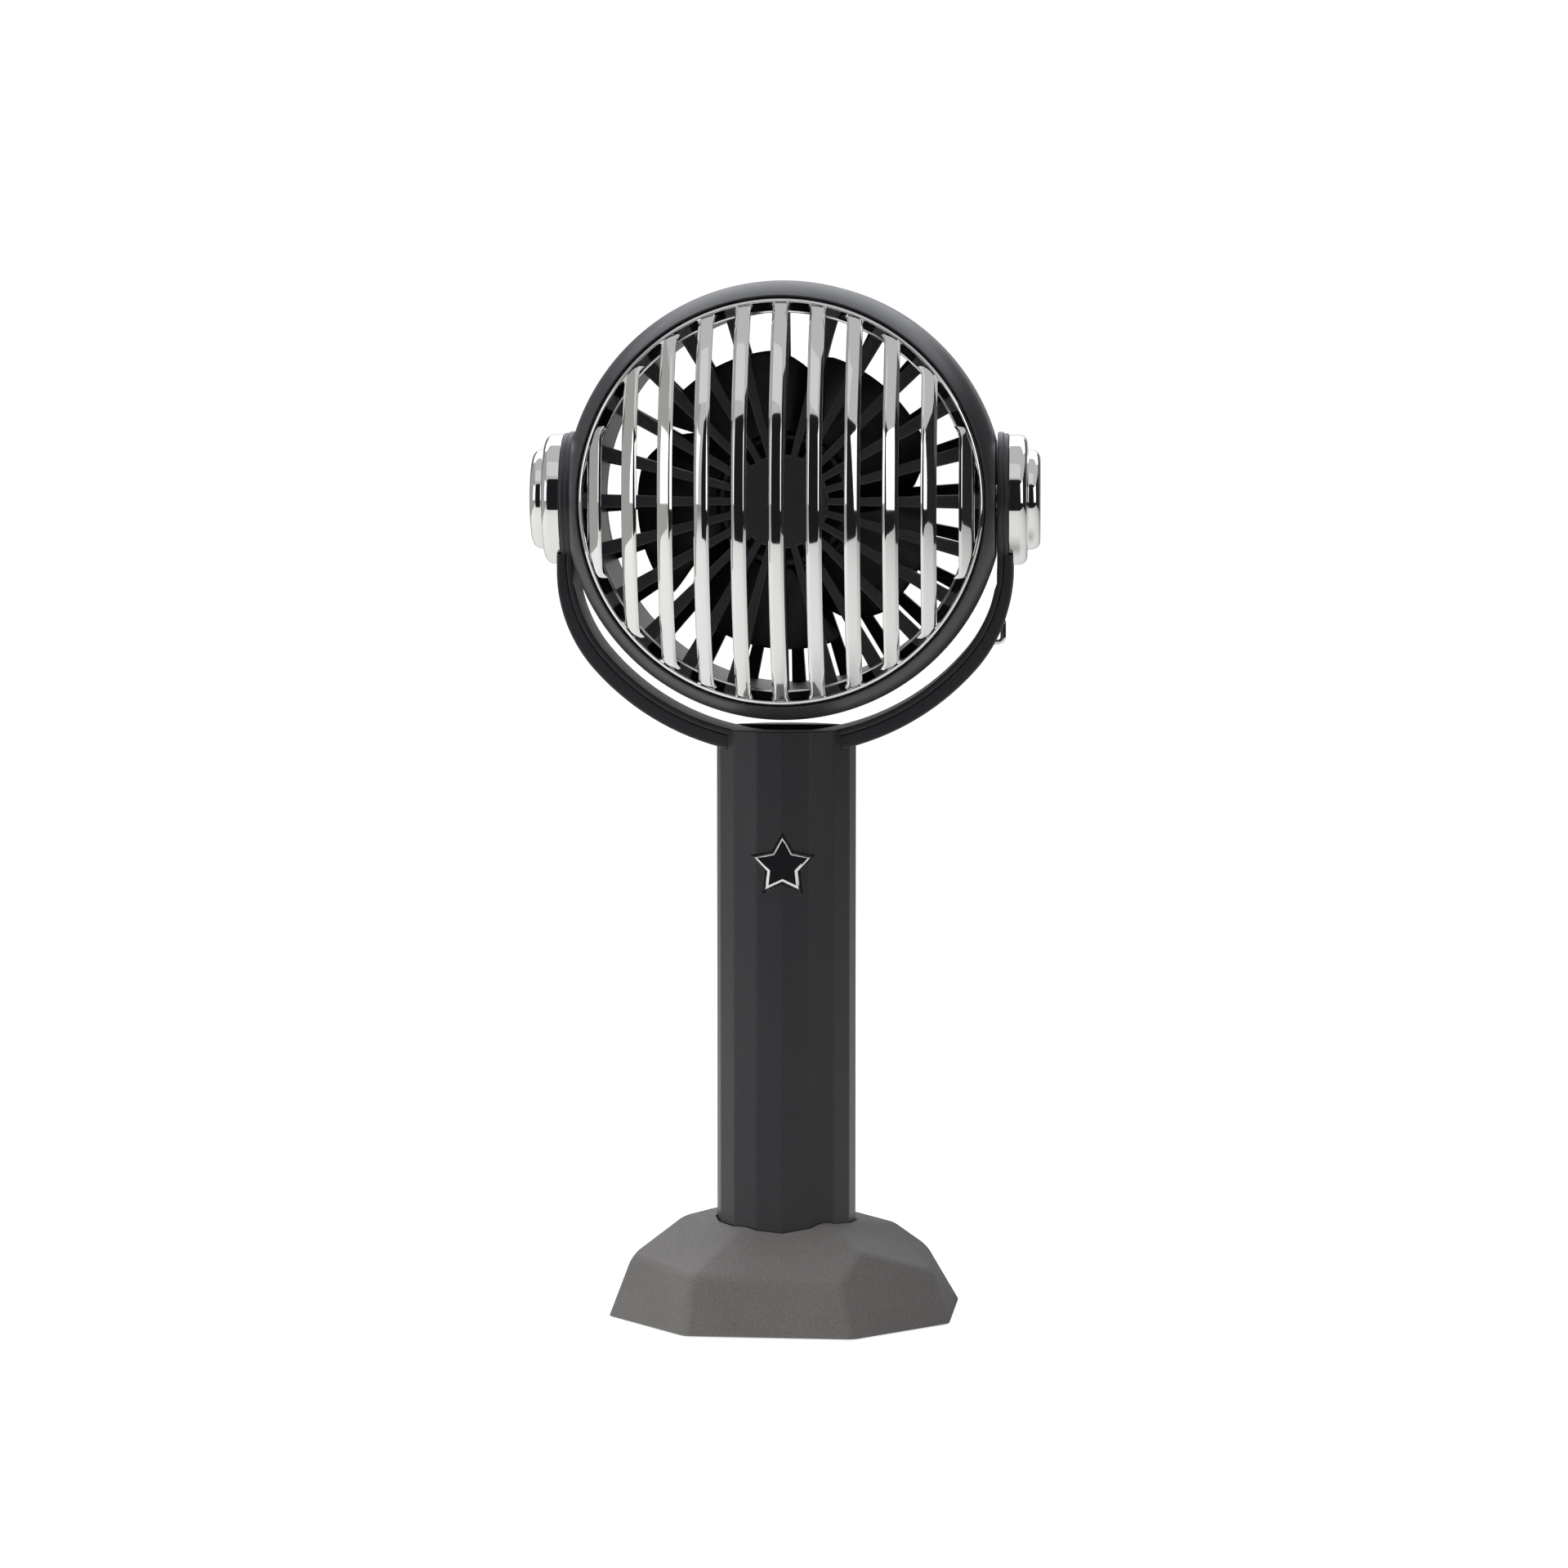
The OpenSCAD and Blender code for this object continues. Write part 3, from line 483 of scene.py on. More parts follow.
def grilleBar(x):  # an upright strip of the dome, with flat sides
    g = grille
    domeR = (g["lipR"] ** 2 + g["rise"] ** 2) / (2 * g["rise"])
    centre = g["front"] - g["rise"] + domeR
    r = sqrt(domeR * domeR - x * x)
    reach = sqrt((g["lipR"] + 0.45 * mm) ** 2 - x * x)
    turn = asin(reach / r)
    w, s, d = g["width"] / 2, g["bevelWidth"], g["bevelDepth"]
    skin = lambda a: centre - sqrt(domeR * domeR - (x + a) ** 2) + g["crown"] * (a / w) ** 2
    bm = bmesh.new()
    spots = [(-w + 0.25 * mm, skin(-w) + g["thick"]), (-w, skin(-w) + d)]
    spots += [(a, skin(a)) for a in (-w + s, -w * 0.4, -w * 0.2, 0, w * 0.2, w * 0.4, w - s)]
    spots += [(w, skin(w) + d), (w - 0.25 * mm, skin(w) + g["thick"])]
    corners = [bm.verts.new((x + a, 0, z)) for a, z in spots]
    bm.faces.new(corners)
    side = [g["backEdge"], g["frontEdge"], g["frontEdge"]]
    roundCorners(bm, corners, side + [0] * 5 + side[::-1], 3)
    bmesh.ops.rotate(bm, cent=(0, 0, centre), matrix=Matrix.Rotation(-turn, 3, "X"), verts=bm.verts)
    bmesh.ops.spin(bm, geom=bm.verts[:] + bm.edges[:] + bm.faces[:], cent=(0, 0, centre), axis=(1, 0, 0),
                   angle=2 * turn, steps=max(24, int(80 * turn)))
    bmesh.ops.holes_fill(bm, edges=[e for e in bm.edges if e.is_boundary])
    bmesh.ops.recalc_face_normals(bm, faces=bm.faces)
    for vert in bm.verts:  # feet that flare into the ring
        into = max(0, (abs(vert.co.y) - reach + g["footLength"]) / g["footLength"])
        vert.co.x = x + (vert.co.x - x) * (1 + g["footFlare"] * into ** 3)
    return bm


def makeGrille():
    g = grille
    ring = lathe([(ringR, g["back"]), (ringR, g["front"] + 0.9 * mm, 0.35 * mm),
                  (ringR - 0.55 * mm, g["front"] + 0.1 * mm, 0.3 * mm),
                  (g["lipR"] + 0.35 * mm, g["front"], 0.3 * mm),
                  (g["lipR"], g["front"] + 0.55 * mm, 0.3 * mm),
                  (g["innerR"] + 0.5 * mm, g["back"] - 0.7 * mm, 0.2 * mm),
                  (g["innerR"], g["back"] - 0.35 * mm, 0.15 * mm), (g["innerR"], g["back"])],
                 steps=200, segments=4)
    half = (g["bars"] - 1) // 2
    join(ring, *[grilleBar(i * g["pitch"]) for i in range(-half, half + 1)])
    finishPiece("chrome_grille_cage", place(ring, headMatrix), "head", chrome,
                ["chrome_grille"], sharp=40)


guards = {
    "spokes": 24,
    "hubWidth": 1.4 * mm,
    "rimWidth": 2.9 * mm,
    "thick": 3.0 * mm,
    "discR": 9.5 * mm,
    "edge": 0.35 * mm,
    "rearTurn": radians(-2.5),
}


def spokeSet(hubR, rimR, front, turn):
    g = guards
    one = boxAt((rimR - hubR, g["rimWidth"], g["thick"]), ((rimR + hubR) / 2, 0, front + g["thick"] / 2))
    for vert in one.verts:
        if vert.co.x < (rimR + hubR) / 2:
            vert.co.y *= g["hubWidth"] / g["rimWidth"]
    along = lambda mid, edge: abs(edge.verts[0].co.x - edge.verts[1].co.x) > 5 * mm
    soften(one, g["edge"], segments=3, where=along)
    spokes = bmesh.new()
    for i in range(g["spokes"]):
        angle = turn + i * 2 * pi / g["spokes"]
        join(spokes, place(one.copy(), Matrix.Rotation(angle, 4, "Z")))
    one.free()
    return spokes


def makeGuards():
    g = guards
    front = guardFront
    disc = lathe([(0, front), (g["discR"], front, 0.5 * mm), (g["discR"], front + g["thick"]),
                  (0, front + g["thick"])], steps=96)
    rim = lathe([(ductIn, front, 0.3 * mm), (ringR - seatGap, front), (ringR - seatGap, guardBack),
                 (ductIn, guardBack, 0.3 * mm)])
    wheel = join(disc, rim, spokeSet(g["discR"] - 0.6 * mm, ductIn + 0.4 * mm, front, 0))
    finishPiece("front_guard_wheel", place(wheel, headMatrix), "head", guardDark,
                ["front_guard"])

    back = rearBack
    face = back - g["thick"]
    cupFront = low("motor_can").y + 4 * mm
    cupIn, cupFloor = canR + seatGap, high("motor_can").y + seatGap
    cup = lathe([(0, back), (cupR - 2 * mm, back, 0.6 * mm), (cupR, back - 0.8 * mm, 0.5 * mm),
                 (cupR, cupFront, 0.4 * mm), (cupIn, cupFront), (cupIn, cupFloor), (0, cupFloor)],
                steps=96)
    rim = lathe([(ductIn, face, 0.3 * mm), (rearR, face), (rearR, back, 0.3 * mm),
                 (ductIn, back, 0.4 * mm)])
    wheel = join(cup, rim, spokeSet(cupR - 0.6 * mm, ductIn + 0.4 * mm, face, g["rearTurn"]))
    finishPiece("rear_guard_wheel", place(wheel, headMatrix), "head", fanBlack,
                ["rear_guard"])


impeller = {
    "blades": 5,
    "hubR": 14 * mm,
    "hubWall": 1.4 * mm,
    "hubFace": 1.6 * mm,
    "tipR": 30.5 * mm,
    "gap": radians(9),
    "sweep": radians(24),
    "rootExtra": radians(19),  # how much wider a blade is at the hub
    "twist": 11.5 * mm,  # depth of a blade, edge to edge
    "thick": 1.2 * mm,
    "firstGap": radians(-80),
}


def impellerBlade(middle):
    p = impeller
    span = 2 * pi / p["blades"] - p["gap"]
    bm = bmesh.new()
    bmesh.ops.create_grid(bm, x_segments=16, y_segments=28, size=0.5)
    rootR = p["hubR"] - 0.8 * mm
    for vert in bm.verts:
        u, v = vert.co.x + 0.5, vert.co.y  # u from hub to tip, v across the blade
        tip = p["tipR"] - rimDrop(v) * mm
        r = rootR + (tip - rootR) * u
        share = min(1, max(0, (p["tipR"] - r) / (p["tipR"] - p["hubR"])))
        angle = middle + v * (span + p["rootExtra"] * share) + p["sweep"] * share ** 1.3
        depth = p["twist"] * v * (0.75 + 0.25 * share) + 0.9 * mm * (4 * v * v - 1) - 0.7 * mm
        vert.co = (r * cos(angle), r * sin(angle), depth)
    bmesh.ops.recalc_face_normals(bm, faces=bm.faces)
    bmesh.ops.solidify(bm, geom=bm.faces[:], thickness=p["thick"])
    bmesh.ops.recalc_face_normals(bm, faces=bm.faces)
    soften(bm, 0.35 * mm, segments=2, angle=50)
    return bm


def rimDrop(v):  # how far the tip falls back at the rounded leading corner, v = 0.5
    lead = max(0, (v - 0.30) / 0.20)
    trail = max(0, (-v - 0.42) / 0.08)
    return 4.2 * lead ** 2.2 + 0.9 * trail ** 2


def makeImpeller():
    p = impeller
    front, back = low("impeller").y, low("motor_can").y - 1.0 * mm
    inner, floor = p["hubR"] - p["hubWall"], front + p["hubFace"]
    hub = lathe([(0, front + 0.2 * mm), (4 * mm, front + 0.2 * mm), (p["hubR"], front, 2.2 * mm),
                 (p["hubR"], back, 0.3 * mm), (inner, back, 0.3 * mm), (inner, floor), (0, floor)],
                steps=96)
    step = 2 * pi / p["blades"]
    blades = [impellerBlade(p["firstGap"] + (i + 0.5) * step) for i in range(p["blades"])]
    finishPiece("impeller_fan", place(join(hub, *blades), headMatrix), "rotor", fanBlack,
                ["impeller"], sharp=35)


makeHousing()
makeGrille()
makeGuards()
makeImpeller()
print("head made")


yokeSizes = {
    "outR": 51.8 * mm,
    "inR": 47.7 * mm,
    "outX": 46.3 * mm,
    "inX": 43.05 * mm,
    "liner": 1.2 * mm,
    "outBlend": 30 * mm,
    "inBlend": 28 * mm,
    "sweep": 46.87 * mm,  # the turning head and its clearance
    "bossR": 13.5 * mm,
    "bossX": 45.3 * mm,
    "edge": 0.45 * mm,
}


def bowLine(r, x, blend, count=40):  # one side's outline, from the pivot's height down to the bottom
    cx = x - blend
    cz = -sqrt((r - blend) ** 2 - cx * cx)
    lean = atan2(-cz, cx)
    points = [(x, 0), (x, cz / 2)]
    for i in range(count // 2 + 1):
        a = -lean * i / (count // 2)
        points.append((cx + blend * cos(a), cz + blend * sin(a)))
    for i in range(1, count // 2 + 1):
        a = -lean - (pi / 2 - lean) * i / (count // 2)
        points.append((r * cos(a), r * sin(a)))
    return points


def bandBetween(outer, inner, half):
    bm = bmesh.new()
    chains = []
    for line in (outer, inner):
        verts = [bm.verts.new((px, 0, pz)) for px, pz in line + [(-px, pz) for px, pz in line[-2::-1]]]
        chains.append([bm.edges.new(pair) for pair in zip(verts, verts[1:])])
    bmesh.ops.bridge_loops(bm, edges=chains[0] + chains[1])
    extrude(bm, (0, 2 * half, 0))
    bmesh.ops.translate(bm, vec=(pivot.x, pivot.y - half, pivot.z), verts=bm.verts)
    return bm


def makeYoke():
    y = yokeSizes
    mid = (y["inR"] + y["liner"], y["inX"] + y["liner"], y["inBlend"] + y["liner"])
    inFace, midFace, outFace, bossR = y["inX"], mid[1], y["bossX"], y["bossR"]
    beyond = y["outX"] + 3 * mm
    along = lambda centre, edge: abs(edge.verts[0].co.y - edge.verts[1].co.y) < 1e-6
    band = bandBetween(bowLine(y["outR"], y["outX"], y["outBlend"]), bowLine(*mid), yokeHalf)
    soften(band, y["edge"], segments=3, angle=50, where=along)
    discs, recesses = [], []
    for side in (-1, 1):
        disc = lathe([(0, midFace), (bossR, midFace, 0.1 * mm), (bossR, outFace, 0.4 * mm), (0, outFace)],
                     steps=120)
        discs.append(place(disc, pivotMatrix(side)))
        recess = lathe([(0, outFace), (bossR, outFace), (bossR, beyond), (0, beyond)], steps=120)
        recesses.append(place(recess, pivotMatrix(side)))
    band = combine(band, "DIFFERENCE", *recesses)
    band = join(band, *discs)
    finishPiece("yoke_band", band, "handle", charcoal, ["yoke"])

    liner = bandBetween(bowLine(*mid), bowLine(y["inR"], y["inX"], y["inBlend"]), yokeHalf + 0.15 * mm)
    soften(liner, 0.3 * mm, segments=3, angle=50, where=along)
    discs = []
    for side in (-1, 1):
        disc = lathe([(0, inFace), (bossR + 0.3 * mm, inFace, 0.3 * mm),
                      (bossR + 0.3 * mm, midFace, 0.3 * mm), (0, midFace)], steps=120)
        discs.append(place(disc, pivotMatrix(side)))
    reach = inFace - seatGap
    rim = [(sqrt(y["sweep"] ** 2 - a * a), a) for a in [reach * i / 30 for i in range(-30, 31)]]
    relief = place(lathe([(0, -reach)] + rim + [(0, reach)], steps=160), pivotMatrix(1))
    liner = combine(liner, "DIFFERENCE", relief)
    finishPiece("yoke_inner_band", join(liner, *discs), "handle", charcoal,
                ["yoke_liner"])


pivotCap = {
    "wideR": 13.2 * mm,
    "narrowR": 10.1 * mm,
    "step": 3.8 * mm,
    "top": 2.6 * mm,
    "round": 1.7 * mm,
    "hollowR": 8.2 * mm,
}


def makeCaps():
    c = pivotCap
    start = yokeSizes["bossX"]
    step = start + c["step"]
    top = step + c["top"]
    for name, side in (("left", -1), ("right", 1)):
        cap = lathe([(c["hollowR"], start), (c["wideR"], start, 0.3 * mm), (c["wideR"], step, c["round"]),
                     (c["narrowR"], step, 0.35 * mm), (c["narrowR"], top, c["round"]), (0, top),
                     (0, step), (c["hollowR"], step)], steps=144, segments=7)
        finishPiece(f"{name}_cap_dome", place(cap, pivotMatrix(side)), "handle", chrome,
                    [f"{name}_pivot_cap"], sharp=50)


loopSizes = {
    "rod": 0.6 * mm,
    "corner": 1.0 * mm,
    "legs": (0, 1.2 * mm),
}


def makeLoop():
    lowest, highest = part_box("lanyard_loop")
    rod = loopSizes["rod"]
    wide, tall = highest.x - lowest.x - 2 * rod, highest.z - lowest.z - 2 * rod
    y = highest.y - rod
    middle = Vector(((lowest.x + highest.x) / 2, y, (lowest.z + highest.z) / 2))
    signs = ((-1, -1), (1, -1), (1, 1), (-1, 1))
    outline = flatOutline([(a * wide / 2, b * tall / 2, loopSizes["corner"]) for a, b in signs], 6)
    place(outline, Matrix.Translation(middle))
    loop = [face for face in outline.faces][0]
    path = [v.co.copy() for v in loop.verts]
    outline.free()
    curve = bpy.data.curves.new("loopWire", "CURVE")
    curve.dimensions, curve.bevel_depth, curve.bevel_resolution = "3D", rod, 5
    line = curve.splines.new("POLY")
    line.points.add(len(path) - 1)
    for point, co in zip(line.points, path):
        point.co = (*co, 1)
    line.use_cyclic_u = True
    wire = bpy.data.objects.new("loopWire", curve)
    bpy.context.scene.collection.objects.link(wire)
    graph = bpy.context.evaluated_depsgraph_get()
    bm = bmesh.new()
    bm.from_mesh(wire.evaluated_get(graph).to_mesh())
    bpy.data.objects.remove(wire)
    length = y - lowest.y
    for x in loopSizes["legs"]:
        leg = lathe([(0, 0), (rod * 0.9, 0), (rod * 0.9, length), (0, length)], steps=24)
        spot = Matrix.Translation((middle.x + x, lowest.y, highest.z - rod))
        join(bm, place(leg, spot @ Matrix.Rotation(-pi / 2, 4, "X")))
    finishPiece("lanyard_ring", bm, "handle", chrome, ["lanyard_loop"], sharp=60)


makeYoke()
makeCaps()
makeLoop()
print("yoke made")


handle = {
    "sides": 16,
    "wall": 1.7 * mm,
    "facetEdge": 0.35 * mm,
    "topEdge": 0.3 * mm,
    "starR": 6.2 * mm,
    "starGap": 0.8 * mm,
    "starRatio": 0.54,
    "starRim": 0.75 * mm,
    "flange": 0.9 * mm,
    "flangeR": 7 * mm,
    "seam": 0.03 * mm,
    "screwX": 6.6 * mm,
    "screwHead": 2 * mm,  # radius
    "recessR": 2.05 * mm,
    "recessFloor": 9.95 * mm,
}


def prism(r, bottom, top, edge=0.0, endEdge=0.0):
    bm = bmesh.new()
    bmesh.ops.create_circle(bm, cap_ends=True, segments=handle["sides"], radius=r)
    extrude(bm, (0, 0, top - bottom))
    bmesh.ops.translate(bm, vec=(0, 0, bottom), verts=bm.verts)
    if edge:
        upright = lambda centre, e: abs(e.verts[0].co.z - e.verts[1].co.z) > mm
        soften(bm, edge, segments=3, angle=10, where=upright)
    if endEdge:
        soften(bm, endEdge, segments=2, angle=60)
    return bm


def starPrism(r, front, back, rim=0.0):
    bm = bmesh.new()
    bmesh.ops.create_circle(bm, cap_ends=True, segments=10, radius=r)
    bmesh.ops.rotate(bm, matrix=Matrix.Rotation(pi / 2, 3, "X"), verts=bm.verts)
    for vert in bm.verts:  # every second corner drawn in, with a point at the top
        point = round(atan2(vert.co.x, vert.co.z) / (pi / 5))
        vert.co *= handle["starRatio"] if point % 2 else 1
    extrude(bm, (0, back - front, 0))
    if rim:
        onFront = lambda centre, e: all(abs(v.co.y) < 1e-6 for v in e.verts)
        soften(bm, rim, segments=4, angle=40, where=onFront)
    buttonZ = (low("star_button").z + high("star_button").z) / 2
    bmesh.ops.translate(bm, vec=(0, front, buttonZ), verts=bm.verts)
    return bm


def runsInward(centre, edge):
    return abs(edge.verts[0].co.y - edge.verts[1].co.y) > 5 * mm


def makeHandle():
    h = handle
    screwZs = (low("handle_screws").z + h["screwHead"], high("handle_screws").z - h["screwHead"])
    socketZ = (low("charge_socket").z + high("charge_socket").z) / 2
    for name, side in (("front", -1), ("rear", 1)):
        outer = prism(handleR, shellBottom, lipTop, h["facetEdge"], h["topEdge"])
        inner = prism(handleR - h["wall"] * 1.02, shellBottom - mm, yokeBottom - 1.8 * mm)
        saddleR, saddleHalf = yokeSizes["outR"] + seatGap, yokeHalf + 0.2 * mm
        saddle = lathe([(0, -saddleHalf), (saddleR, -saddleHalf), (saddleR, saddleHalf), (0, saddleHalf)],
                       steps=240)
        place(saddle, headMatrix)
        tools = [inner, saddle]
        if side < 0:
            opening = h["starR"] + h["starGap"]
            tools.append(starPrism(opening, -handleR - 2 * mm, -handleR + 6 * mm))
        else:
            r, length = h["recessR"], 8 * mm
            for x in (-h["screwX"], h["screwX"]):
                for z in screwZs:
                    hole = lathe([(0, 0), (r, 0), (r, length), (0, length)], steps=40)
                    spot = Matrix.Translation((x, h["recessFloor"], z))
                    tools.append(place(hole, spot @ Matrix.Rotation(-pi / 2, 4, "X")))
            inlet = boxAt((9.6 * mm, 9 * mm, 3.9 * mm), (0, handleR - 2.5 * mm, socketZ))
            tools.append(soften(inlet, 1.2 * mm, segments=4, where=runsInward))
        shell = combine(outer, "DIFFERENCE", *tools)
        bmesh.ops.bisect_plane(shell, geom=shell.verts[:] + shell.edges[:] + shell.faces[:],
                               dist=1e-7, plane_co=(0, side * h["seam"], 0),
                               plane_no=(0, -side, 0), clear_outer=True)
        bmesh.ops.holes_fill(shell, edges=[e for e in shell.edges if e.is_boundary])
        finishPiece(f"handle_{name}_casing", shell, "handle", charcoal,
                    [f"handle_{name}_shell"], sharp=20)
    cap = prism(handleR - 0.1 * mm, low("handle_end_cap").z, shellBottom - seatGap,
                h["facetEdge"], 0.5 * mm)
    finishPiece("handle_bottom_cap", cap, "handle", charcoal,
                ["handle_end_cap"], sharp=20)


def makeButton():
    front, rear = low("star_button").y, high("star_button").y
    face = rear - handle["flange"]
    star = starPrism(handle["starR"], front, face, handle["starRim"])
    r, start = handle["flangeR"], face - 0.02 * mm
    flange = lathe([(0, start), (r, start), (r, rear), (0, rear)], steps=64)
    buttonZ = (low("star_button").z + high("star_button").z) / 2
    place(flange, Matrix.Translation((0, 0, buttonZ)) @ Matrix.Rotation(-pi / 2, 4, "X"))
    finishPiece("star_button_cap", join(star, flange), "button", chrome,
                ["star_button"], sharp=45)


makeHandle()
makeButton()
print("handle made")


stand = {
    "r": 37.5 * mm,
    "skirt": 0.3 * mm,
    "foot": [197, 240, 294, 335, 20, 64, 108, 153],  # angles of the corners on the table
    # angle, radius, height of the higher corners
    "shoulder": [(194, 32.3, 12.4), (236, 31.8, 11.4), (293, 31.2, 11.1), (341, 32.3, 10.3),
                 (27, 32, 11.4), (70, 31.6, 12), (112, 32, 10.6), (151, 32.4, 11.8)],
    "ridge": [(173, 21.2, 19.2), (236, 15, 19.1), (309, 25.8, 15.7), (305, 14.4, 20.3),
              (15, 22.8, 17.6), (66, 22.4, 18.4), (118, 21.8, 19.6)],
    "edge": 1.1 * mm,
    "socketGap": 0.35 * mm,
    "rimEdge": 0.5 * mm,
}


def around(angle, r, z):
    return (r * cos(radians(angle)), r * sin(radians(angle)), z)


def makeStand():
    s = stand
    bm = bmesh.new()
    for angle in s["foot"]:
        bm.verts.new(around(angle, s["r"], s["skirt"]))
    for angle, r, z in s["shoulder"] + s["ridge"]:
        bm.verts.new(around(angle, r * mm, z * mm))
    hull = bmesh.ops.convex_hull(bm, input=bm.verts[:])
    bmesh.ops.delete(bm, geom=list({*hull["geom_interior"], *hull["geom_unused"]}), context="VERTS")
    bmesh.ops.dissolve_limit(bm, angle_limit=radians(4), verts=bm.verts, edges=bm.edges)
    soften(bm, s["edge"], segments=4, angle=5, where=lambda c, e: c.z > mm)
    bmesh.ops.bisect_plane(bm, geom=bm.verts[:] + bm.edges[:] + bm.faces[:], dist=1e-7,
                           plane_co=(0, 0, s["skirt"] + 0.05 * mm), plane_no=(0, 0, -1), clear_outer=True)
    bmesh.ops.holes_fill(bm, edges=[e for e in bm.edges if e.is_boundary])
    socketFloor = low("handle_end_cap").z - 0.35 * mm
    socket = prism(handleR + s["socketGap"], socketFloor, 60 * mm)
    under = lathe([(0, -mm), (30.1 * mm, -mm), (30.1 * mm, 2 * mm), (0, 2 * mm)], steps=96)
    bm = combine(bm, "DIFFERENCE", socket, under)
    rimR = handleR + s["socketGap"]

    def onRim(centre, edge):
        near = all(abs(v.co.xy.length - rimR) < 0.3 * mm and v.co.z > socketFloor + 5 * mm
                   for v in edge.verts)
        return near and abs(edge.verts[0].co.z - edge.verts[1].co.z) < 4 * mm

    soften(bm, s["rimEdge"], segments=3, angle=35, where=onRim)
    finishPiece("stand_rock", bm, "stand", standGrey, ["stand_block"], sharp=28)


makeStand()
print("stand made")


camera = {
    "distance": 1.060,
    "yaw": radians(3.2),
    "height": 0.197,
    "aim": Vector((-0.0005, 0, 0.1088)),
    "lens": 119.3,
}


def makeCamera():
    c = camera
    data = bpy.data.cameras.new("camera")
    view = bpy.data.objects.new("camera", data)
    bpy.context.scene.collection.objects.link(view)
    view.location = (c["distance"] * sin(c["yaw"]), -c["distance"] * cos(c["yaw"]), c["height"])
    view.rotation_euler = (c["aim"] - view.location).to_track_quat("-Z", "Y").to_euler()
    data.lens = c["lens"]
    data.sensor_width = 36
    data.clip_start, data.clip_end = 0.05, 50
    bpy.context.scene.camera = view


studio = {
    "sky": 0.30,  # soft light from all round
    "backdrop": 1.05,
    "ceiling": 0.52,  # what bright metal sees where no card stands
    # name, size, watts, place
    "lights": [("topLight", (0.7, 0.5), 9.0, (-0.20, -0.05, 1.15)),
               ("leftLight", (0.4, 0.8), 3.6, (-1.0, -0.20, 0.60))],
    # name, size, place, radiance: only bright metal and gloss see these
    "cards": [("darkRoom", (1.9, 0.56), (0.60, -0.52, 0.28), (0.60, 0, 0.28), (0.012, 0.012, 0.014)),
              ("darkRight", (1.2, 0.75), (1.05, 0.05, 0.375), (0, 0.05, 0.375), (0.02, 0.02, 0.02)),
              ("leftWall", (1.0, 0.9), (-0.62, -0.10, 0.45), (0, -0.10, 0.45), (0.36, 0.37, 0.35)),
              ("leftGlow", (0.30, 0.32), (-0.52, -0.38, 0.31), (0, 0, 0.25), (1.4, 1.4, 1.4)),
              ("rightGlow", (0.40, 0.34), (0.40, -0.44, 0.295), (0, 0, 0.20), (1.5, 1.5, 1.5)),
              ("topGlow", (0.95, 0.40), (-0.12, -0.46, 0.86), (0, 0, 0.167), (0.68, 0.68, 0.70)),
              ("backTop", (2.4, 1.2), (0, 0.95, 1.05), (0, 0, 0.2), (1.7, 1.72, 1.8)),
              ("sideBack", (1.0, 0.7), (0.75, 0.75, 0.36), (0, 0, 0.15), (0.10, 0.10, 0.11)),
              ("farBack", (1.0, 0.7), (-0.75, 0.75, 0.36), (0, 0, 0.15), (0.16, 0.16, 0.17))],
}


def floorMaterial():
    material, tree, shader = startMaterial("paleFloor")
    shader.inputs["Base Color"].default_value = (0.82, 0.815, 0.80, 1)
    shader.inputs["Roughness"].default_value = 0.8
    shader.inputs["Specular IOR Level"].default_value = 0
    shader.inputs["Emission Color"].default_value = (1, 1, 1, 1)
    rays = addNode(tree, "ShaderNodeLightPath")
    lift = addNode(tree, "ShaderNodeMath", {"operation": "MULTIPLY"})
    lift.inputs[1].default_value = 0.85  # lifts the floor to white for the eye, not for what it lights
    tree.links.new(rays.outputs["Is Camera Ray"], lift.inputs[0])
    tree.links.new(lift.outputs[0], shader.inputs["Emission Strength"])
    return material


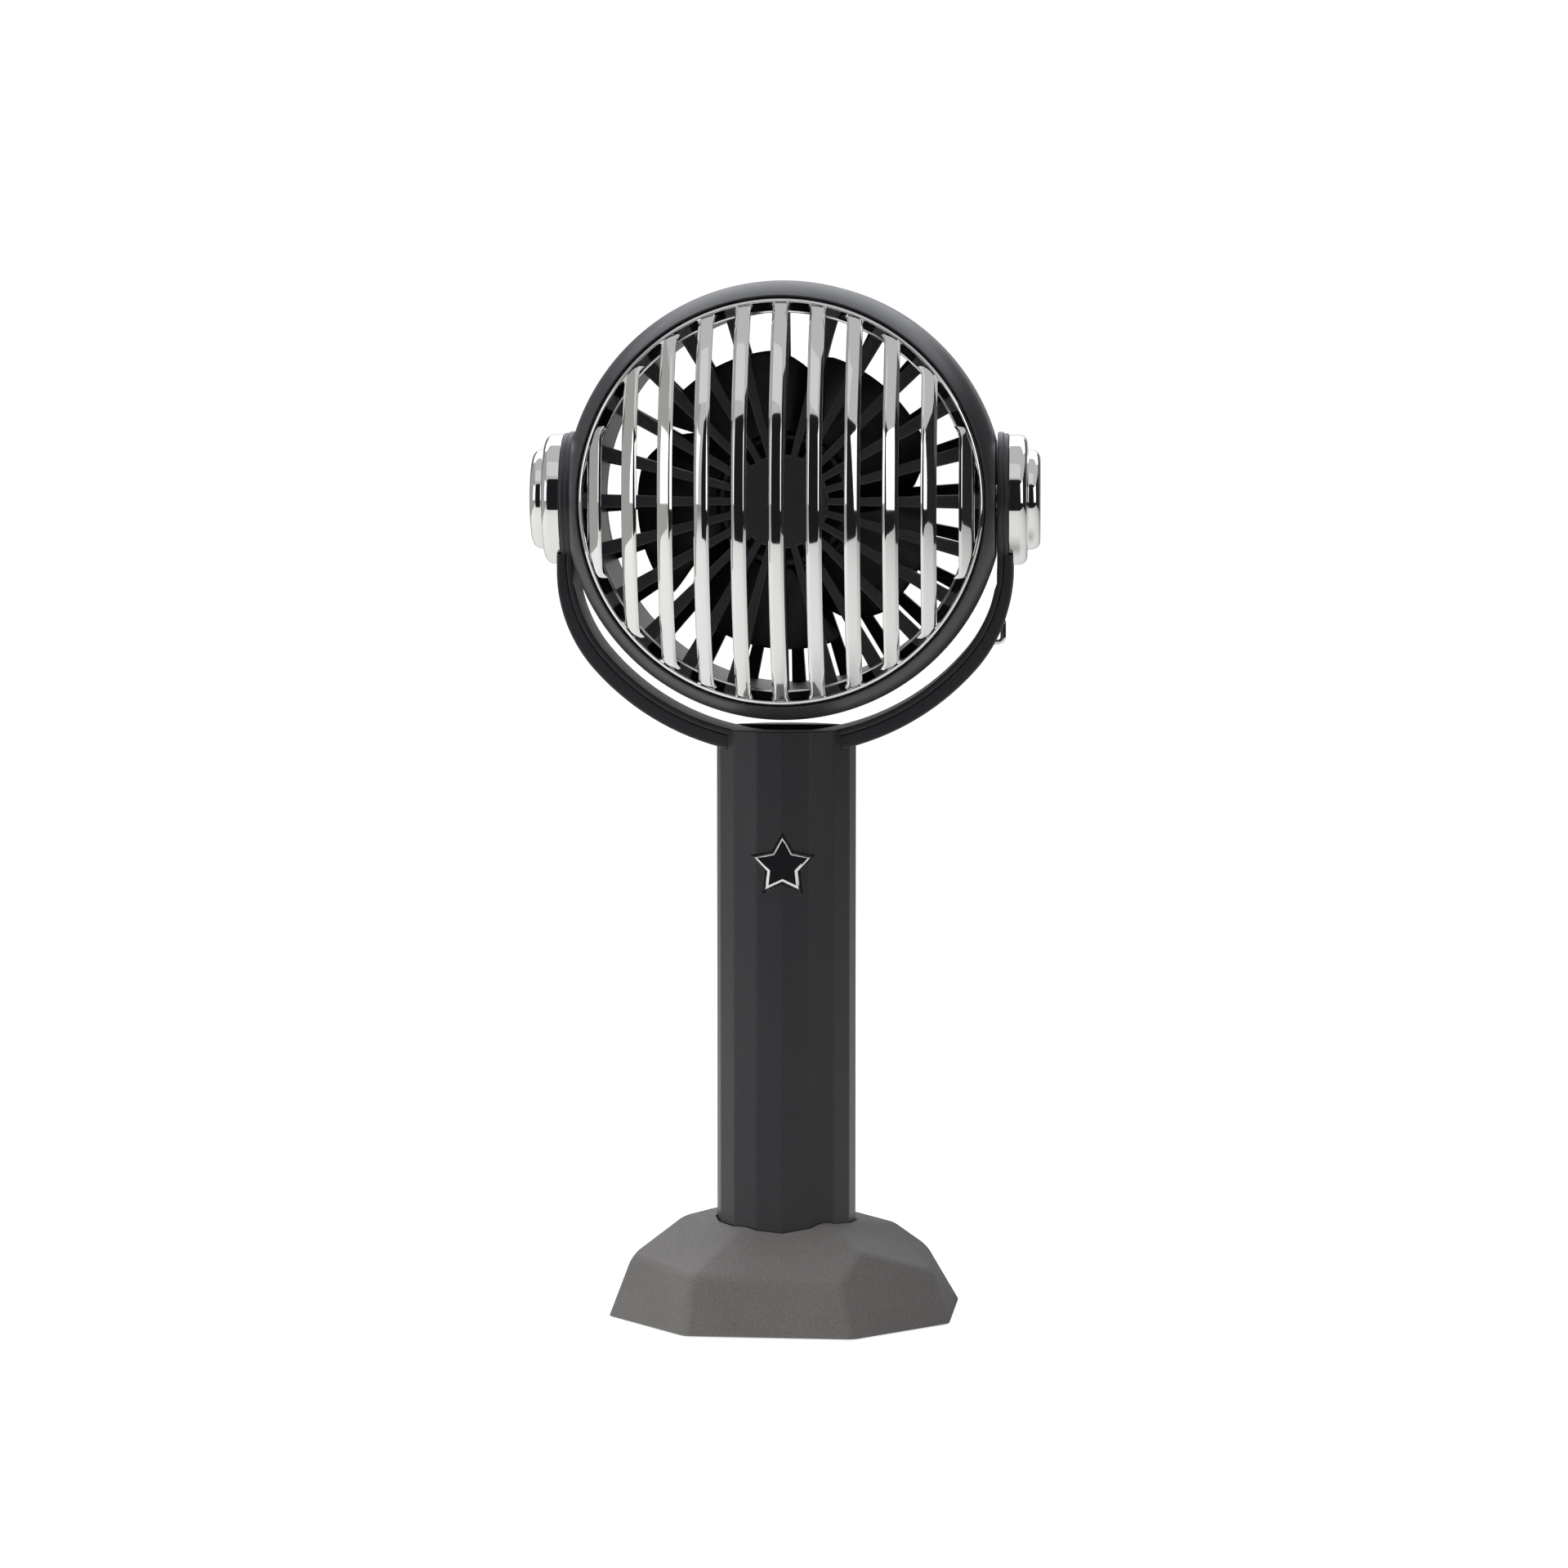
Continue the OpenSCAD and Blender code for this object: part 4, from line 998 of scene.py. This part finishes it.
def makeSky():
    world = bpy.data.worlds.new("studio")
    world.use_nodes = True
    tree = world.node_tree
    link = tree.links.new
    sky = tree.nodes["Background"]
    sky.inputs["Color"].default_value = (1, 1, 1, 1)
    rays = addNode(tree, "ShaderNodeLightPath")
    shine = addNode(tree, "ShaderNodeMix", {"data_type": "FLOAT"})
    shine.inputs["A"].default_value = studio["sky"]
    shine.inputs["B"].default_value = studio["ceiling"]
    link(rays.outputs["Is Glossy Ray"], shine.inputs["Factor"])
    seen = addNode(tree, "ShaderNodeMix", {"data_type": "FLOAT"})
    seen.inputs["B"].default_value = studio["backdrop"]
    link(rays.outputs["Is Camera Ray"], seen.inputs["Factor"])
    link(shine.outputs["Result"], seen.inputs["A"])
    link(seen.outputs["Result"], sky.inputs["Strength"])
    bpy.context.scene.world = world


def addLight(name, size, watts, spot):
    data = bpy.data.lights.new(name, "AREA")
    data.shape = "RECTANGLE"
    data.size, data.size_y = size
    data.energy = watts
    light = bpy.data.objects.new(name, data)
    bpy.context.scene.collection.objects.link(light)
    light.location = spot
    light.rotation_euler = (pivot - Vector(spot)).to_track_quat("-Z", "Y").to_euler()
    light.visible_glossy = False


def addCard(name, size, spot, target, glow):
    bm = bmesh.new()
    bmesh.ops.create_grid(bm, x_segments=1, y_segments=1, size=0.5)
    bmesh.ops.scale(bm, vec=(size[0], size[1], 1), verts=bm.verts)
    turn = (Vector(target) - Vector(spot)).to_track_quat("Z", "Y").to_matrix().to_4x4()
    place(bm, Matrix.Translation(spot) @ turn)
    card = asObject(name, bm)
    material, tree, shader = startMaterial(name)
    shader.inputs["Base Color"].default_value = (0, 0, 0, 1)
    shader.inputs["Specular IOR Level"].default_value = 0
    shader.inputs["Emission Color"].default_value = (*glow, 1)
    shader.inputs["Emission Strength"].default_value = 1
    card.data.materials.append(material)
    card.visible_camera = card.visible_diffuse = card.visible_shadow = False


def makeStudio():
    floor = bmesh.new()
    bmesh.ops.create_grid(floor, x_segments=2, y_segments=2, size=4)
    floor = asObject("floor", floor)
    floor.data.materials.append(floorMaterial())
    makeSky()
    for light in studio["lights"]:
        addLight(*light)
    for card in studio["cards"]:
        addCard(*card)
    bpy.context.scene.view_settings.view_transform = "Standard"


makeCamera()
makeStudio()
print("studio made")
